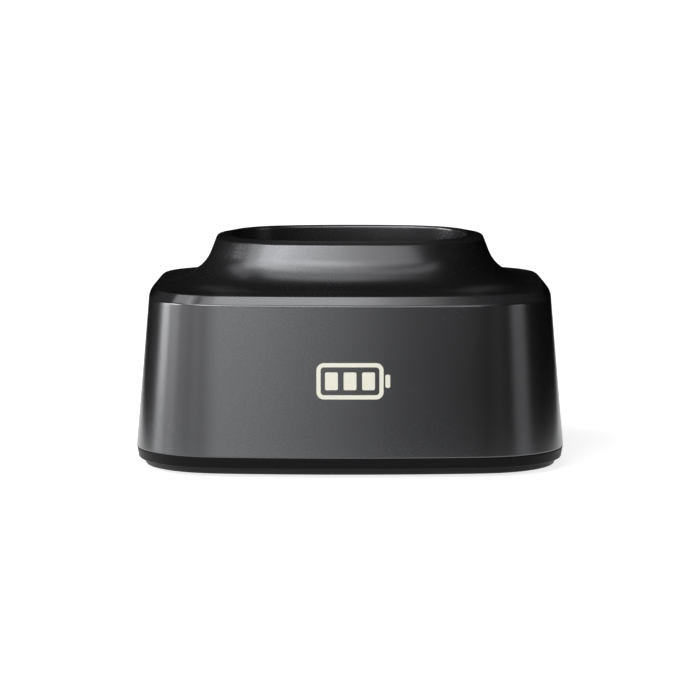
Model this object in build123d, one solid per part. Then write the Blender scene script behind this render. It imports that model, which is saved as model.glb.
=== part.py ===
# Clipper charging stand. Millimetres, +Z up, front towards -Y, origin at the bottom centre of the feet.
from build123d import *
import math
import os
from dataclasses import dataclass

os.makedirs("parts", exist_ok=True)

# Outside of the body, at its widest level
BODY_WIDTH = 100.0
BODY_DEPTH = 82.0
BODY_CORNER = 20.5
FRONT_BOW_RADIUS = 285.0
SIDE_BOW_RADIUS = 320.0

# Heights of the outside, from the floor up
FOOT_PROUD = 0.8
COVER_THICKNESS = 1.5
BAND_HEIGHT = 2.45
FACE_HEIGHT = 34.4
CHAMFER_HEIGHT = 2.1
COLLAR_HEIGHT = 10.6
LIP_RISE = 0.65

# How far each level stands in from the widest one, along X and Y alike
COVER_INSET = 1.9
BAND_INSET = 0.45
FACE_TAPER = 3.0
CHAMFER_RUN = 1.75

# Rim of the socket
RIM_WIDTH = 62.7
RIM_DEPTH = 49.8
RIM_CORNER = 18.4
RIM_BOW_RADIUS = 90.0
RIM_WALL = 4.15
LIP_CREST_WIDTH = 0.9
COLLAR_DRAFT_DEG = 21.0
COLLAR_DRAFT_HEIGHT = 3.3
COLLAR_STEPS = 7
COLLAR_VOID_STOP_DEG = 60.0
DECK_LAND = 2.0

# Walls
HOUSING_WALL = 2.2
LINER_WALL = 1.8
TRAY_FLOOR = 2.0
TRAY_RIM_WALL = 1.6
TRAY_RIM_HEIGHT = 4.0

# Fits and clearances
RIM_FIT = 0.15
SEAT_GAP = 0.1
PIN_FIT = 0.05
THREAD_FIT = 0.02
SCREW_PASS = 0.3
PIECE_GAP = 0.4

# Socket
SKIRT_DEPTH = 12.0
WELL_DEPTH = 27.0
WELL_DRAFT = 0.8
GUIDE_RIB_WIDTH = 1.6
GUIDE_RIB_PROUD = 0.6
GUIDE_RIB_DROP = 3.0
LINER_COLLAR_WALL = 1.2
LINER_COLLAR_HEIGHT = 3.0
LINER_COLLAR_GRIP = 3.0
LINER_FLOOR = 2.0
GUIDE_RIB_SPACING = 26.0
ISLAND_WIDTH = 22.0
ISLAND_DEPTH = 8.0
ISLAND_RISE = 0.7

# Contacts
CONTACT_SPACING = 12.0
CONTACT_Y = -8.0
PIN_RADIUS = 1.2
PIN_PROUD = 2.5
PIN_DOME_SHARE = 0.75
SHOULDER_RADIUS = 1.6
SHOULDER_HEIGHT = 1.2
SPRING_OUTER_RADIUS = 1.4
SPRING_WIRE = 0.3
BLOCK_WIDTH = 20.0
BLOCK_DEPTH = 10.0
BLOCK_HEIGHT = 10.4
BLOCK_TOP_WALL = 1.6
BLOCK_EAR_REACH = 8.0
BLOCK_EAR_HEIGHT = 2.0
BLOCK_EAR_RISE = 1.4
BLOCK_BOSS_WALL = 1.5
RETAINER_THICKNESS = 1.0
STAKE_RADIUS = 0.7
STAKE_X = 9.0
TERMINAL_THICKNESS = 0.4
TERMINAL_WIDTH = 3.0
TERMINAL_TAB = 3.0

# Screws: head radius, head height, shank radius, and length under the head where it is the screw's own
SMALL_SCREW = (1.9, 1.2, 0.9, 6.0)
BOARD_SCREW = (2.2, 1.4, 1.1)
LINER_SCREW_LENGTH = 5.0
BOARD_SCREW_SPARE = 2.8
HOUSING_SCREW = (2.7, 1.7, 1.3, 10.0)
COVER_SCREW = (1.8, 0.9, 0.9, 5.0)
BALLAST_SCREW = (4.4, 1.4, 1.1)
SCREW_SLOT = (0.45, 0.5)
SCREW_SLOT_SHARE = 0.65
THREAD_SPARE = 1.0

# Bosses
BOSS_WALL = 1.9
HOUSING_BOSS_IN_X = 14.0
HOUSING_BOSS_IN_Y = 15.0
TRAY_POST_HEIGHT = 5.0
TRAY_SEAT = 2.0
LINER_EAR_OUT = 5.0
LINER_EAR_Y = 9.0
LINER_EAR_DROP = 8.3
LINER_EAR_THICKNESS = 2.2
COVER_SCREW_IN_X = 10.0
COVER_SCREW_Y = 10.0
COVER_BOSS_HEIGHT = 4.2

# Ballast
BALLAST_SIDE_GAP = 17.0
BALLAST_FRONT_GAP = 11.0
BALLAST_BACK_GAP = 16.0
BALLAST_CORNER = 13.0
BALLAST_HEAD_CLEAR = 0.3
BALLAST_SCREW_IN_X = 9.0
BALLAST_SCREW_IN_Y = 12.0

# Board and what it carries
BOARD_SIDE_GAP = 20.0
BOARD_DEPTH = 23.0
BOARD_THICKNESS = 1.6
JACK_OVERHANG = 3.2
BOARD_HOLE_MARGIN = 3.6
POST_RADIUS = 2.7
JACK_WIDTH = 9.0
JACK_LENGTH = 14.0
JACK_HEIGHT = 11.0
JACK_AXIS_HEIGHT = 6.5
JACK_NOSE_RADIUS = 4.3
JACK_BORE_RADIUS = 2.85
JACK_BORE_DEPTH = 9.5
JACK_PIN_RADIUS = 1.0
JACK_PIN_SHORT = 0.8
JACK_NOSE_LENGTH = 1.0
JACK_NOSE_FIT = 0.35
JACK_NOSE_ROOT = 1.0
LEAF_WIDTH = 2.4
LEAF_THICKNESS = 0.4
CAPACITOR_RADIUS = 3.15
CAPACITOR_HEIGHT = 11.0
INDUCTOR_RADIUS = 4.0
INDUCTOR_HEIGHT = 5.5
TALL_PARTS_IN = 7.0
TALL_PARTS_SIDE = 12.0
CHIP_SIZE = (5.0, 4.0, 1.6)
CHIP_X = -10.0
FUSE_SIZE = (4.6, 3.2, 1.4)
FUSE_X = 12.0
FLAT_PARTS_IN = 16.0
HEADER_SIZE = (7.0, 5.0, 6.0)
LEAD_RADIUS = 0.55
LEAD_SPACING = 3.0
LEAD_START = 4.5
LEAD_END = 5.0
LEAD_BEND_SHARE = 0.45

# Feet
FOOT_RADIUS = 6.0
FOOT_SINK = 0.7
FOOT_IN_X = 16.0
FOOT_IN_Y = 16.0
FOOT_FIT = 0.1


@dataclass(frozen=True)
class Plan:
    """A rounded rectangle whose four sides bow out: half sizes, corner radius and the bows' radii."""

    half_x: float
    half_y: float
    corner: float
    bow_x: float
    bow_y: float

    def inset(self, distance):
        """The parallel outline that lies inside this one by a distance."""
        sizes = (self.half_x, self.half_y, self.corner, self.bow_x, self.bow_y)
        return Plan(*(size - distance for size in sizes))

    def mix(self, other, share):
        """An outline between this one and another."""
        return Plan(
            self.half_x + (other.half_x - self.half_x) * share,
            self.half_y + (other.half_y - self.half_y) * share,
            self.corner + (other.corner - self.corner) * share,
            self.bow_x + (other.bow_x - self.bow_x) * share,
            self.bow_y + (other.bow_y - self.bow_y) * share,
        )

    def corner_centre(self):
        """Centre of the corner arc in the +X +Y quarter, tangent to both bowed sides."""
        side = (self.half_x - self.bow_x, 0.0)
        back = (0.0, self.half_y - self.bow_y)
        side_reach = self.bow_x - self.corner
        back_reach = self.bow_y - self.corner
        gap_x, gap_y = back[0] - side[0], back[1] - side[1]
        gap = math.hypot(gap_x, gap_y)
        along = (side_reach**2 - back_reach**2 + gap**2) / (2 * gap)
        across = math.sqrt(side_reach**2 - along**2)
        foot = (side[0] + along * gap_x / gap, side[1] + along * gap_y / gap)
        return foot[0] - across * gap_y / gap, foot[1] + across * gap_x / gap

    def wire(self, height):
        """The outline as eight arcs at a height."""
        cx, cy = self.corner_centre()
        side_angle = math.atan2(cy, cx - self.half_x + self.bow_x)
        back_angle = math.atan2(cy - self.half_y + self.bow_y, cx)
        middle_angle = (side_angle + back_angle) / 2

        def at(angle):
            return cx + self.corner * math.cos(angle), cy + self.corner * math.sin(angle)

        on_side, on_bend, on_back = at(side_angle), at(middle_angle), at(back_angle)

        def point(xy, sign_x, sign_y):
            return Vector(sign_x * xy[0], sign_y * xy[1], height)

        arcs = []
        for sx, sy in ((1, 1), (-1, -1)):
            side_middle = Vector(sx * self.half_x, 0, height)
            back_middle = Vector(0, sy * self.half_y, height)
            for start, middle, end in (
                (point(on_side, sx, -sy), side_middle, point(on_side, sx, sy)),
                (point(on_side, sx, sy), point(on_bend, sx, sy), point(on_back, sx, sy)),
                (point(on_back, sx, sy), back_middle, point(on_back, -sx, sy)),
                (point(on_back, -sx, sy), point(on_bend, -sx, sy), point(on_side, -sx, sy)),
            ):
                arcs.append(Edge.make_three_point_arc(start, middle, end))
        return Wire(arcs)


def stack(levels, ruled=True):
    """A closed solid through outlines given as (plan, height), lowest first."""
    return Solid.make_loft([plan.wire(height) for plan, height in levels], ruled)


def column(plan, low, high):
    """An upright solid of one outline between two heights."""
    return stack([(plan, low), (plan, high)])


def disc(radius, low, high, x=0.0, y=0.0):
    """An upright cylinder between two heights."""
    return Pos(x, y, (low + high) / 2) * Cylinder(radius, high - low)


def block(size_x, size_y, low, high, x=0.0, y=0.0):
    """A box between two heights, centred on x and y."""
    return Pos(x, y, (low + high) / 2) * Box(size_x, size_y, high - low)


def corners(x, y):
    """The four places at plus and minus x and y."""
    return [(sx * x, sy * y) for sx in (-1, 1) for sy in (-1, 1)]


def screw(kind, seat, x, y):
    """A cross-slotted screw put in from below: the head hangs under its seat, the shank points up."""
    head_radius, head_height, shank_radius, length = kind
    slot_half, slot_depth = SCREW_SLOT
    body = disc(head_radius, seat - head_height, seat, x, y) + disc(shank_radius, seat, seat + length, x, y)
    bottom = seat - head_height
    for turn in (0, 90):
        body -= Pos(x, y, bottom + slot_depth / 2) * Rot(0, 0, turn) * Box(
            head_radius * 2 * SCREW_SLOT_SHARE, slot_half * 2, slot_depth)
    return body


def flipped_screw(kind, seat, x, y):
    """The same screw put in from above."""
    return Pos(x, y, seat) * Rot(180, 0, 0) * screw(kind, 0, 0, 0)


def write(name, shape):
    """Writes one node's solids to its own file."""
    export_step(shape, f"parts/{name}.step")


# Levels
cover_bottom = FOOT_PROUD
band_bottom = cover_bottom + COVER_THICKNESS
face_bottom = band_bottom + BAND_HEIGHT
chamfer_bottom = face_bottom + FACE_HEIGHT
deck_level = chamfer_bottom + CHAMFER_HEIGHT
rim_level = deck_level + COLLAR_HEIGHT
lip_level = rim_level + LIP_RISE
tray_floor_top = band_bottom + TRAY_FLOOR
well_floor_top = lip_level - WELL_DEPTH
well_floor_bottom = well_floor_top - LINER_FLOOR

# Places tied to the outside
housing_boss_x = BODY_WIDTH / 2 - HOUSING_BOSS_IN_X
housing_boss_y = BODY_DEPTH / 2 - HOUSING_BOSS_IN_Y
foot_x = BODY_WIDTH / 2 - FOOT_IN_X
foot_y = BODY_DEPTH / 2 - FOOT_IN_Y
cover_screw_x = BODY_WIDTH / 2 - COVER_SCREW_IN_X
ballast_width = BODY_WIDTH - BALLAST_SIDE_GAP * 2
ballast_front = BALLAST_FRONT_GAP - BODY_DEPTH / 2
ballast_back = BODY_DEPTH / 2 - BALLAST_BACK_GAP

# Plans
widest = Plan(BODY_WIDTH / 2, BODY_DEPTH / 2, BODY_CORNER, SIDE_BOW_RADIUS, FRONT_BOW_RADIUS)
band_low = widest.inset(BAND_INSET)
cover_plan = widest.inset(COVER_INSET)
face_top = widest.inset(FACE_TAPER)
deck_edge = face_top.inset(CHAMFER_RUN)
rim_plan = Plan(RIM_WIDTH / 2, RIM_DEPTH / 2, RIM_CORNER, RIM_BOW_RADIUS, RIM_BOW_RADIUS)
mouth = rim_plan.inset(RIM_WALL)
crest = mouth.inset(-LIP_CREST_WIDTH)
skirt_outer = mouth.inset(-LINER_WALL)

# Collar profile: a straight draft under the rim, then an arc that meets the deck level
draft = math.radians(COLLAR_DRAFT_DEG)
draft_run = COLLAR_DRAFT_HEIGHT * math.tan(draft)
arc_radius = (COLLAR_HEIGHT - COLLAR_DRAFT_HEIGHT) / (1 - math.sin(draft))
arc_centre_run = draft_run + arc_radius * math.cos(draft)
arc_centre_level = deck_level + arc_radius
collar_share = (deck_edge.half_x - rim_plan.half_x - DECK_LAND) / (deck_edge.half_x - rim_plan.half_x)


def collar_plan(run):
    """The outline at a distance out from the rim, on its way to the deck's flat land."""
    return rim_plan.mix(deck_edge, run / arc_centre_run * collar_share)


def collar_arc(radius, stop_deg):
    """Outlines up the concave arc, from the deck to a slope, for the outside or a wall further in."""
    levels = []
    for step in range(COLLAR_STEPS):
        angle = math.radians(stop_deg) * step / (COLLAR_STEPS - 1)
        run = arc_centre_run - radius * math.sin(angle)
        levels.append((collar_plan(run), arc_centre_level - radius * math.cos(angle)))
    return levels


def face_plan(height, distance):
    """The face's outline at a height, carried inwards by a distance."""
    return widest.mix(face_top, (height - face_bottom) / FACE_HEIGHT).inset(distance)


def mitre(wall, lower_angle, upper_angle):
    """How far the inner corner of a wall stands in and down from its outer corner, slopes from upright."""
    inward = math.cos(lower_angle) + math.cos(upper_angle)
    down = math.sin(lower_angle) + math.sin(upper_angle)
    share = wall / (1 + math.cos(upper_angle - lower_angle))
    return inward * share, down * share


# Upper housing
face_angle = math.atan(FACE_TAPER / FACE_HEIGHT)
chamfer_angle = math.atan(CHAMFER_RUN / CHAMFER_HEIGHT)
skirt_bottom = lip_level - SKIRT_DEPTH
liner_top = skirt_bottom - SEAT_GAP
arc_levels = collar_arc(arc_radius, 90 - COLLAR_DRAFT_DEG)
void_levels = collar_arc(arc_radius + HOUSING_WALL, COLLAR_VOID_STOP_DEG)
shoulder_in, shoulder_down = mitre(HOUSING_WALL, face_angle, chamfer_angle)
edge_in, edge_down = mitre(HOUSING_WALL, chamfer_angle, math.pi / 2)

outside = stack([(widest, face_bottom), (face_top, chamfer_bottom), (deck_edge, deck_level)])
outside += stack(arc_levels, ruled=False)
outside += stack([arc_levels[-1], (rim_plan, rim_level), (crest, lip_level)])

inside = stack([
    (widest.inset(HOUSING_WALL), face_bottom),
    (face_top.inset(shoulder_in), chamfer_bottom - shoulder_down),
    (deck_edge.inset(edge_in), deck_level - edge_down),
])
inside += stack(void_levels, ruled=False)
inside -= column(skirt_outer, skirt_bottom, lip_level)

post_top = tray_floor_top + TRAY_POST_HEIGHT
liner_ear_level = deck_level - LINER_EAR_DROP
liner_ear_top = liner_ear_level + LINER_EAR_THICKNESS
liner_ear_x = skirt_outer.half_x + LINER_EAR_OUT
housing_boss_radius = HOUSING_SCREW[2] + BOSS_WALL
liner_boss_radius = BOARD_SCREW[2] + BOSS_WALL
upper_housing = outside - inside
for x, y in corners(housing_boss_x, housing_boss_y):
    upper_housing += disc(housing_boss_radius, post_top, rim_level, x, y) & outside
for x, y in corners(liner_ear_x, LINER_EAR_Y):
    upper_housing += disc(liner_boss_radius, liner_ear_top, rim_level, x, y) & outside
upper_housing -= column(mouth, skirt_bottom, lip_level)

tray_seat = post_top - TRAY_SEAT
for x, y in corners(housing_boss_x, housing_boss_y):
    upper_housing -= disc(HOUSING_SCREW[2] + THREAD_FIT, post_top,
                          tray_seat + HOUSING_SCREW[3] + THREAD_SPARE, x, y)
for x, y in corners(liner_ear_x, LINER_EAR_Y):
    upper_housing -= disc(BOARD_SCREW[2] + THREAD_FIT, liner_ear_top,
                          liner_ear_level + LINER_SCREW_LENGTH + THREAD_SPARE, x, y)

# Power inlet place: the jack stands on the board with its nose through the back wall
board_top = well_floor_bottom - PIECE_GAP - JACK_HEIGHT
board_bottom = board_top - BOARD_THICKNESS
ballast_top = board_bottom - BALLAST_HEAD_CLEAR - BALLAST_SCREW[1]
ballast_thickness = ballast_top - tray_floor_top
board_screw_length = board_top - tray_floor_top - BOARD_SCREW_SPARE
jack_axis = board_top + JACK_AXIS_HEIGHT
jack_back = face_plan(jack_axis + JACK_HEIGHT / 2, HOUSING_WALL + PIECE_GAP).half_y
nose_end = jack_back + JACK_NOSE_LENGTH
board_back = jack_back - JACK_OVERHANG
tall_parts_y = board_back - TALL_PARTS_IN
flat_parts_y = board_back - FLAT_PARTS_IN


def lengthwise(radius, near, far, height):
    """A cylinder along Y between two distances from the middle."""
    return Pos(0, (near + far) / 2, height) * Rot(90, 0, 0) * Cylinder(radius, far - near)


upper_housing -= lengthwise(JACK_NOSE_RADIUS + JACK_NOSE_FIT, jack_back, BODY_DEPTH / 2, jack_axis)
write("upper_housing", upper_housing)

# Cup of the socket
liner_collar = skirt_outer.inset(-RIM_FIT)
well_liner = stack([(skirt_outer.inset(WELL_DRAFT), well_floor_bottom), (skirt_outer, liner_top)])
well_liner += column(liner_collar.inset(-LINER_COLLAR_WALL), liner_top - LINER_COLLAR_GRIP,
                     liner_top + LINER_COLLAR_HEIGHT)
well_liner -= column(liner_collar, liner_top, liner_top + LINER_COLLAR_HEIGHT)
ear_radius = liner_boss_radius + PIECE_GAP
for x, y in corners(liner_ear_x, LINER_EAR_Y):
    well_liner += disc(ear_radius, liner_ear_level, liner_ear_top, x, y)
    well_liner += block(abs(x), ear_radius * 2, liner_ear_level, liner_ear_top, x / 2, y)
well_cavity = stack([(mouth.inset(WELL_DRAFT), well_floor_top), (mouth, liner_top)])
well_liner -= well_cavity
rib_top = liner_top - GUIDE_RIB_DROP
for x, y in corners(GUIDE_RIB_SPACING / 2, mouth.half_y):
    rib = block(GUIDE_RIB_WIDTH, (LINER_WALL + GUIDE_RIB_PROUD) * 2, well_floor_top, rib_top, x, y)
    well_liner += rib & stack([
        (mouth.inset(WELL_DRAFT - LINER_WALL / 2), well_floor_top),
        (mouth.inset(-LINER_WALL / 2), liner_top),
    ])
island_top = well_floor_top + ISLAND_RISE
well_liner += block(ISLAND_WIDTH, ISLAND_DEPTH, well_floor_top, island_top, 0, CONTACT_Y)
for x, y in corners(liner_ear_x, LINER_EAR_Y):
    well_liner -= disc(BOARD_SCREW[2] + SCREW_PASS, liner_ear_level, liner_ear_top, x, y)

# Contact block under the cup
block_top = well_floor_bottom
block_bottom = block_top - BLOCK_HEIGHT
ear_bottom = block_bottom + BLOCK_EAR_RISE
ear_top = ear_bottom + BLOCK_EAR_HEIGHT
ear_x = (BLOCK_WIDTH + BLOCK_EAR_REACH) / 2
retainer_bottom = block_bottom - RETAINER_THICKNESS
stop_level = block_top - BLOCK_TOP_WALL
shoulder_top = stop_level - SEAT_GAP
spring_top = shoulder_top - SHOULDER_HEIGHT
spring_bottom = block_bottom + TERMINAL_THICKNESS
block_back = CONTACT_Y + BLOCK_DEPTH / 2
small_boss_radius = SMALL_SCREW[2] + BLOCK_BOSS_WALL
sides = {"left": -1, "right": 1}

contact_block = block(BLOCK_WIDTH, BLOCK_DEPTH, block_bottom, block_top, 0, CONTACT_Y)
contact_block += block(
    BLOCK_WIDTH + BLOCK_EAR_REACH * 2, small_boss_radius * 2, ear_bottom, ear_top, 0, CONTACT_Y)
for side in sides.values():
    x = side * CONTACT_SPACING / 2
    contact_block -= disc(SHOULDER_RADIUS + PIECE_GAP, block_bottom, stop_level, x, CONTACT_Y)
    contact_block -= disc(PIN_RADIUS + PIN_FIT, stop_level, block_top, x, CONTACT_Y)
    slot_length = block_back - CONTACT_Y + TERMINAL_WIDTH / 2
    contact_block -= block(TERMINAL_WIDTH + SEAT_GAP * 2, slot_length, block_bottom,
                           spring_bottom + SEAT_GAP, x, block_back - slot_length / 2)
    contact_block -= disc(SMALL_SCREW[2] + SCREW_PASS, ear_bottom, ear_top, side * ear_x, CONTACT_Y)
    contact_block += disc(STAKE_RADIUS, retainer_bottom, block_bottom, side * STAKE_X, CONTACT_Y)
write("contact_block", contact_block)

for side in sides.values():
    boss = disc(small_boss_radius, ear_top, well_floor_bottom, side * ear_x, CONTACT_Y)
    boss -= disc(SMALL_SCREW[2] + THREAD_FIT, ear_top, well_floor_bottom, side * ear_x, CONTACT_Y)
    well_liner += boss
    well_liner -= disc(PIN_RADIUS + PIECE_GAP, well_floor_bottom, island_top,
                       side * CONTACT_SPACING / 2, CONTACT_Y)
write("well_liner", well_liner)

contact_retainer = block(BLOCK_WIDTH, BLOCK_DEPTH, retainer_bottom, block_bottom, 0, CONTACT_Y)
for side in sides.values():
    contact_retainer -= disc(STAKE_RADIUS + THREAD_FIT, retainer_bottom, block_bottom,
                             side * STAKE_X, CONTACT_Y)
write("contact_retainer", contact_retainer)

# Pins, springs, terminals and leads
pin_tip = island_top + PIN_PROUD
tab_end = block_back + TERMINAL_TAB
header_front = flat_parts_y - HEADER_SIZE[1] / 2
lead_level = block_bottom + TERMINAL_THICKNESS / 2
header_entry = board_top + HEADER_SIZE[2] / 2
for name, side in sides.items():
    x = side * CONTACT_SPACING / 2
    pin = disc(PIN_RADIUS, shoulder_top, pin_tip, x, CONTACT_Y)
    pin = fillet(pin.edges().group_by(Axis.Z)[-1], PIN_RADIUS * PIN_DOME_SHARE)
    pin += disc(SHOULDER_RADIUS, spring_top, shoulder_top, x, CONTACT_Y)
    write(f"contact_pin_{name}", pin)

    spring = disc(SPRING_OUTER_RADIUS, spring_bottom, spring_top, x, CONTACT_Y)
    spring -= disc(SPRING_OUTER_RADIUS - SPRING_WIRE, spring_bottom, spring_top, x, CONTACT_Y)
    write(f"contact_spring_{name}", spring)

    strip_start = CONTACT_Y - TERMINAL_WIDTH / 2 + SEAT_GAP
    write(f"contact_terminal_{name}", block(
        TERMINAL_WIDTH, tab_end - strip_start, block_bottom, spring_bottom, x, (tab_end + strip_start) / 2))

    route = [
        Vector(x, tab_end, lead_level),
        Vector(x, tab_end + LEAD_START, lead_level),
        Vector(side * LEAD_SPACING / 2, header_front - LEAD_END, header_entry),
        Vector(side * LEAD_SPACING / 2, header_front, header_entry),
    ]
    radii = []
    for before, corner, after in zip(route, route[1:], route[2:]):
        turn = math.radians((corner - before).get_angle(after - corner))
        shorter = min((corner - before).length, (after - corner).length)
        radii.append(LEAD_BEND_SHARE * shorter / math.tan(turn / 2))
    print(f"contact_lead_{name} radii", [round(radius, 2) for radius in radii])
    path = FilletPolyline(*route, radius=radii)
    section = Plane(origin=path @ 0, z_dir=path % 0) * Circle(LEAD_RADIUS)
    write(f"contact_lead_{name}", sweep(section, path=path))

# Base tray
tray_lip_outer = HOUSING_WALL + RIM_FIT
tray_lip_inner = tray_lip_outer + TRAY_RIM_WALL
tray_lip_top = face_bottom + TRAY_RIM_HEIGHT


def tray_ring(distance, low, high):
    """A column that follows the housing's inner wall at a distance in from the outside."""
    return stack([(widest.inset(distance), low), (widest.inset(distance), face_bottom),
                  (face_plan(high, distance), high)])


base_tray = stack([(band_low, band_bottom), (widest, face_bottom)])
base_tray += tray_ring(tray_lip_outer, band_bottom + TRAY_FLOOR / 2, tray_lip_top)
base_tray -= tray_ring(tray_lip_inner, tray_floor_top, tray_lip_top)

board_middle = board_back - BOARD_DEPTH / 2
board_width = BODY_WIDTH - BOARD_SIDE_GAP * 2
tall_parts_x = board_width / 2 - TALL_PARTS_SIDE
board_places = [
    (x, board_middle + y)
    for x, y in corners(board_width / 2 - BOARD_HOLE_MARGIN, BOARD_DEPTH / 2 - BOARD_HOLE_MARGIN)
]
ballast_screw_x = ballast_width / 2 - BALLAST_SCREW_IN_X
ballast_screw_y = ballast_front + BALLAST_SCREW_IN_Y
ballast_places = [(side * ballast_screw_x, ballast_screw_y) for side in sides.values()]
tray_post_radius = HOUSING_SCREW[0] + BOSS_WALL / 2
cover_boss_top = tray_floor_top + COVER_BOSS_HEIGHT
for x, y in corners(housing_boss_x, housing_boss_y):
    base_tray += disc(tray_post_radius, tray_floor_top, post_top, x, y)
    base_tray -= disc(HOUSING_SCREW[2] + SCREW_PASS, band_bottom, post_top, x, y)
    base_tray -= disc(HOUSING_SCREW[0] + SCREW_PASS, band_bottom, tray_seat, x, y)
for x, y in corners(cover_screw_x, COVER_SCREW_Y):
    base_tray += disc(COVER_SCREW[2] + BOSS_WALL, tray_floor_top, cover_boss_top, x, y)
    base_tray -= disc(COVER_SCREW[2] + THREAD_FIT, band_bottom, cover_boss_top - THREAD_SPARE, x, y)
for x, y in board_places:
    base_tray += disc(POST_RADIUS, tray_floor_top, board_bottom, x, y)
    base_tray -= disc(BOARD_SCREW[2] + THREAD_FIT, tray_floor_top, board_bottom, x, y)
for x, y in ballast_places:
    base_tray += disc(POST_RADIUS, tray_floor_top, ballast_top - SEAT_GAP, x, y)
    base_tray -= disc(BOARD_SCREW[2] + THREAD_FIT, tray_floor_top - TRAY_FLOOR / 2, ballast_top, x, y)
write("base_tray", base_tray)

# Bottom cover and feet
cover_seat = cover_bottom + COVER_SCREW[1]
bottom_cover = column(cover_plan, cover_bottom, band_bottom)
for x, y in corners(cover_screw_x, COVER_SCREW_Y):
    bottom_cover -= disc(COVER_SCREW[2] + SCREW_PASS, cover_bottom, band_bottom, x, y)
    bottom_cover -= disc(COVER_SCREW[0] + SCREW_PASS, cover_bottom, cover_seat, x, y)
for x, y in corners(foot_x, foot_y):
    bottom_cover -= disc(FOOT_RADIUS + FOOT_FIT, cover_bottom, cover_bottom + FOOT_SINK, x, y)
write("bottom_cover", bottom_cover)

for (x, y), name in zip(corners(foot_x, foot_y), ("front_left", "rear_left", "front_right", "rear_right")):
    write(f"foot_{name}", disc(FOOT_RADIUS, 0, cover_bottom + FOOT_SINK, x, y))

# Ballast
ballast_plan = Pos(0, (ballast_front + ballast_back) / 2) * RectangleRounded(
    ballast_width, ballast_back - ballast_front, BALLAST_CORNER)
ballast_plate = Pos(0, 0, tray_floor_top) * extrude(ballast_plan, ballast_thickness)
for x, y in board_places + ballast_places:
    ballast_plate -= disc(POST_RADIUS + PIECE_GAP, tray_floor_top, ballast_top, x, y)
write("ballast_plate", ballast_plate)

# Board and what it carries
main_board = block(board_width, BOARD_DEPTH, board_bottom, board_top, 0, board_middle)
for x, y in board_places:
    main_board -= disc(BOARD_SCREW[2] + SCREW_PASS, board_bottom, board_top, x, y)
write("main_board", main_board)

jack_front = jack_back - JACK_LENGTH
bore_end = nose_end - JACK_BORE_DEPTH
jack_body = block(JACK_WIDTH, JACK_LENGTH, board_top, board_top + JACK_HEIGHT,
                  0, (jack_back + jack_front) / 2)
jack_body += lengthwise(JACK_NOSE_RADIUS, jack_back - JACK_NOSE_ROOT, nose_end, jack_axis)
jack_body -= lengthwise(JACK_BORE_RADIUS, bore_end, nose_end, jack_axis)
pin_root = (jack_front + bore_end) / 2
jack_body -= lengthwise(JACK_PIN_RADIUS + THREAD_FIT, pin_root, bore_end, jack_axis)
leaf_x = JACK_BORE_RADIUS
leaf_place = Pos(leaf_x, (bore_end + jack_back) / 2, jack_axis)
leaf_length = jack_back - bore_end
jack_body -= leaf_place * Box(LEAF_THICKNESS, leaf_length, LEAF_WIDTH)
write("jack_body", jack_body)
write("jack_centre_pin", lengthwise(JACK_PIN_RADIUS, pin_root, nose_end - JACK_PIN_SHORT, jack_axis))
write("jack_spring_leaf", leaf_place * Box(LEAF_THICKNESS, leaf_length, LEAF_WIDTH))


def on_board(size, x, y):
    """A box-shaped part that stands on the board."""
    return block(size[0], size[1], board_top, board_top + size[2], x, y)


write("smoothing_capacitor", disc(
    CAPACITOR_RADIUS, board_top, board_top + CAPACITOR_HEIGHT, tall_parts_x, tall_parts_y))
write("power_inductor", disc(
    INDUCTOR_RADIUS, board_top, board_top + INDUCTOR_HEIGHT, -tall_parts_x, tall_parts_y))
write("charge_chip", on_board(CHIP_SIZE, CHIP_X, flat_parts_y))
write("resettable_fuse", on_board(FUSE_SIZE, FUSE_X, flat_parts_y))
write("lead_header", on_board(HEADER_SIZE, 0, flat_parts_y))

# Fasteners, one node for each identical set
write("housing_screws", Compound(
    [screw(HOUSING_SCREW, tray_seat, x, y) for x, y in corners(housing_boss_x, housing_boss_y)]))
liner_screw = (*BOARD_SCREW, LINER_SCREW_LENGTH)
write("liner_screws", Compound(
    [screw(liner_screw, liner_ear_level, x, y) for x, y in corners(liner_ear_x, LINER_EAR_Y)]))
write("cover_screws", Compound(
    [screw(COVER_SCREW, cover_seat, x, y) for x, y in corners(cover_screw_x, COVER_SCREW_Y)]))
write("block_screws", Compound(
    [screw(SMALL_SCREW, ear_bottom, side * ear_x, CONTACT_Y) for side in sides.values()]))
write("board_screws", Compound(
    [flipped_screw((*BOARD_SCREW, board_screw_length), board_top, x, y) for x, y in board_places]))
write("ballast_screws", Compound(
    [flipped_screw((*BALLAST_SCREW, ballast_thickness), ballast_top, x, y) for x, y in ballast_places]))
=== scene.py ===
import logging
import math
from dataclasses import dataclass
from enum import Enum
from functools import cache
from typing import Any, Mapping, Optional, Sequence, Union

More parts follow.
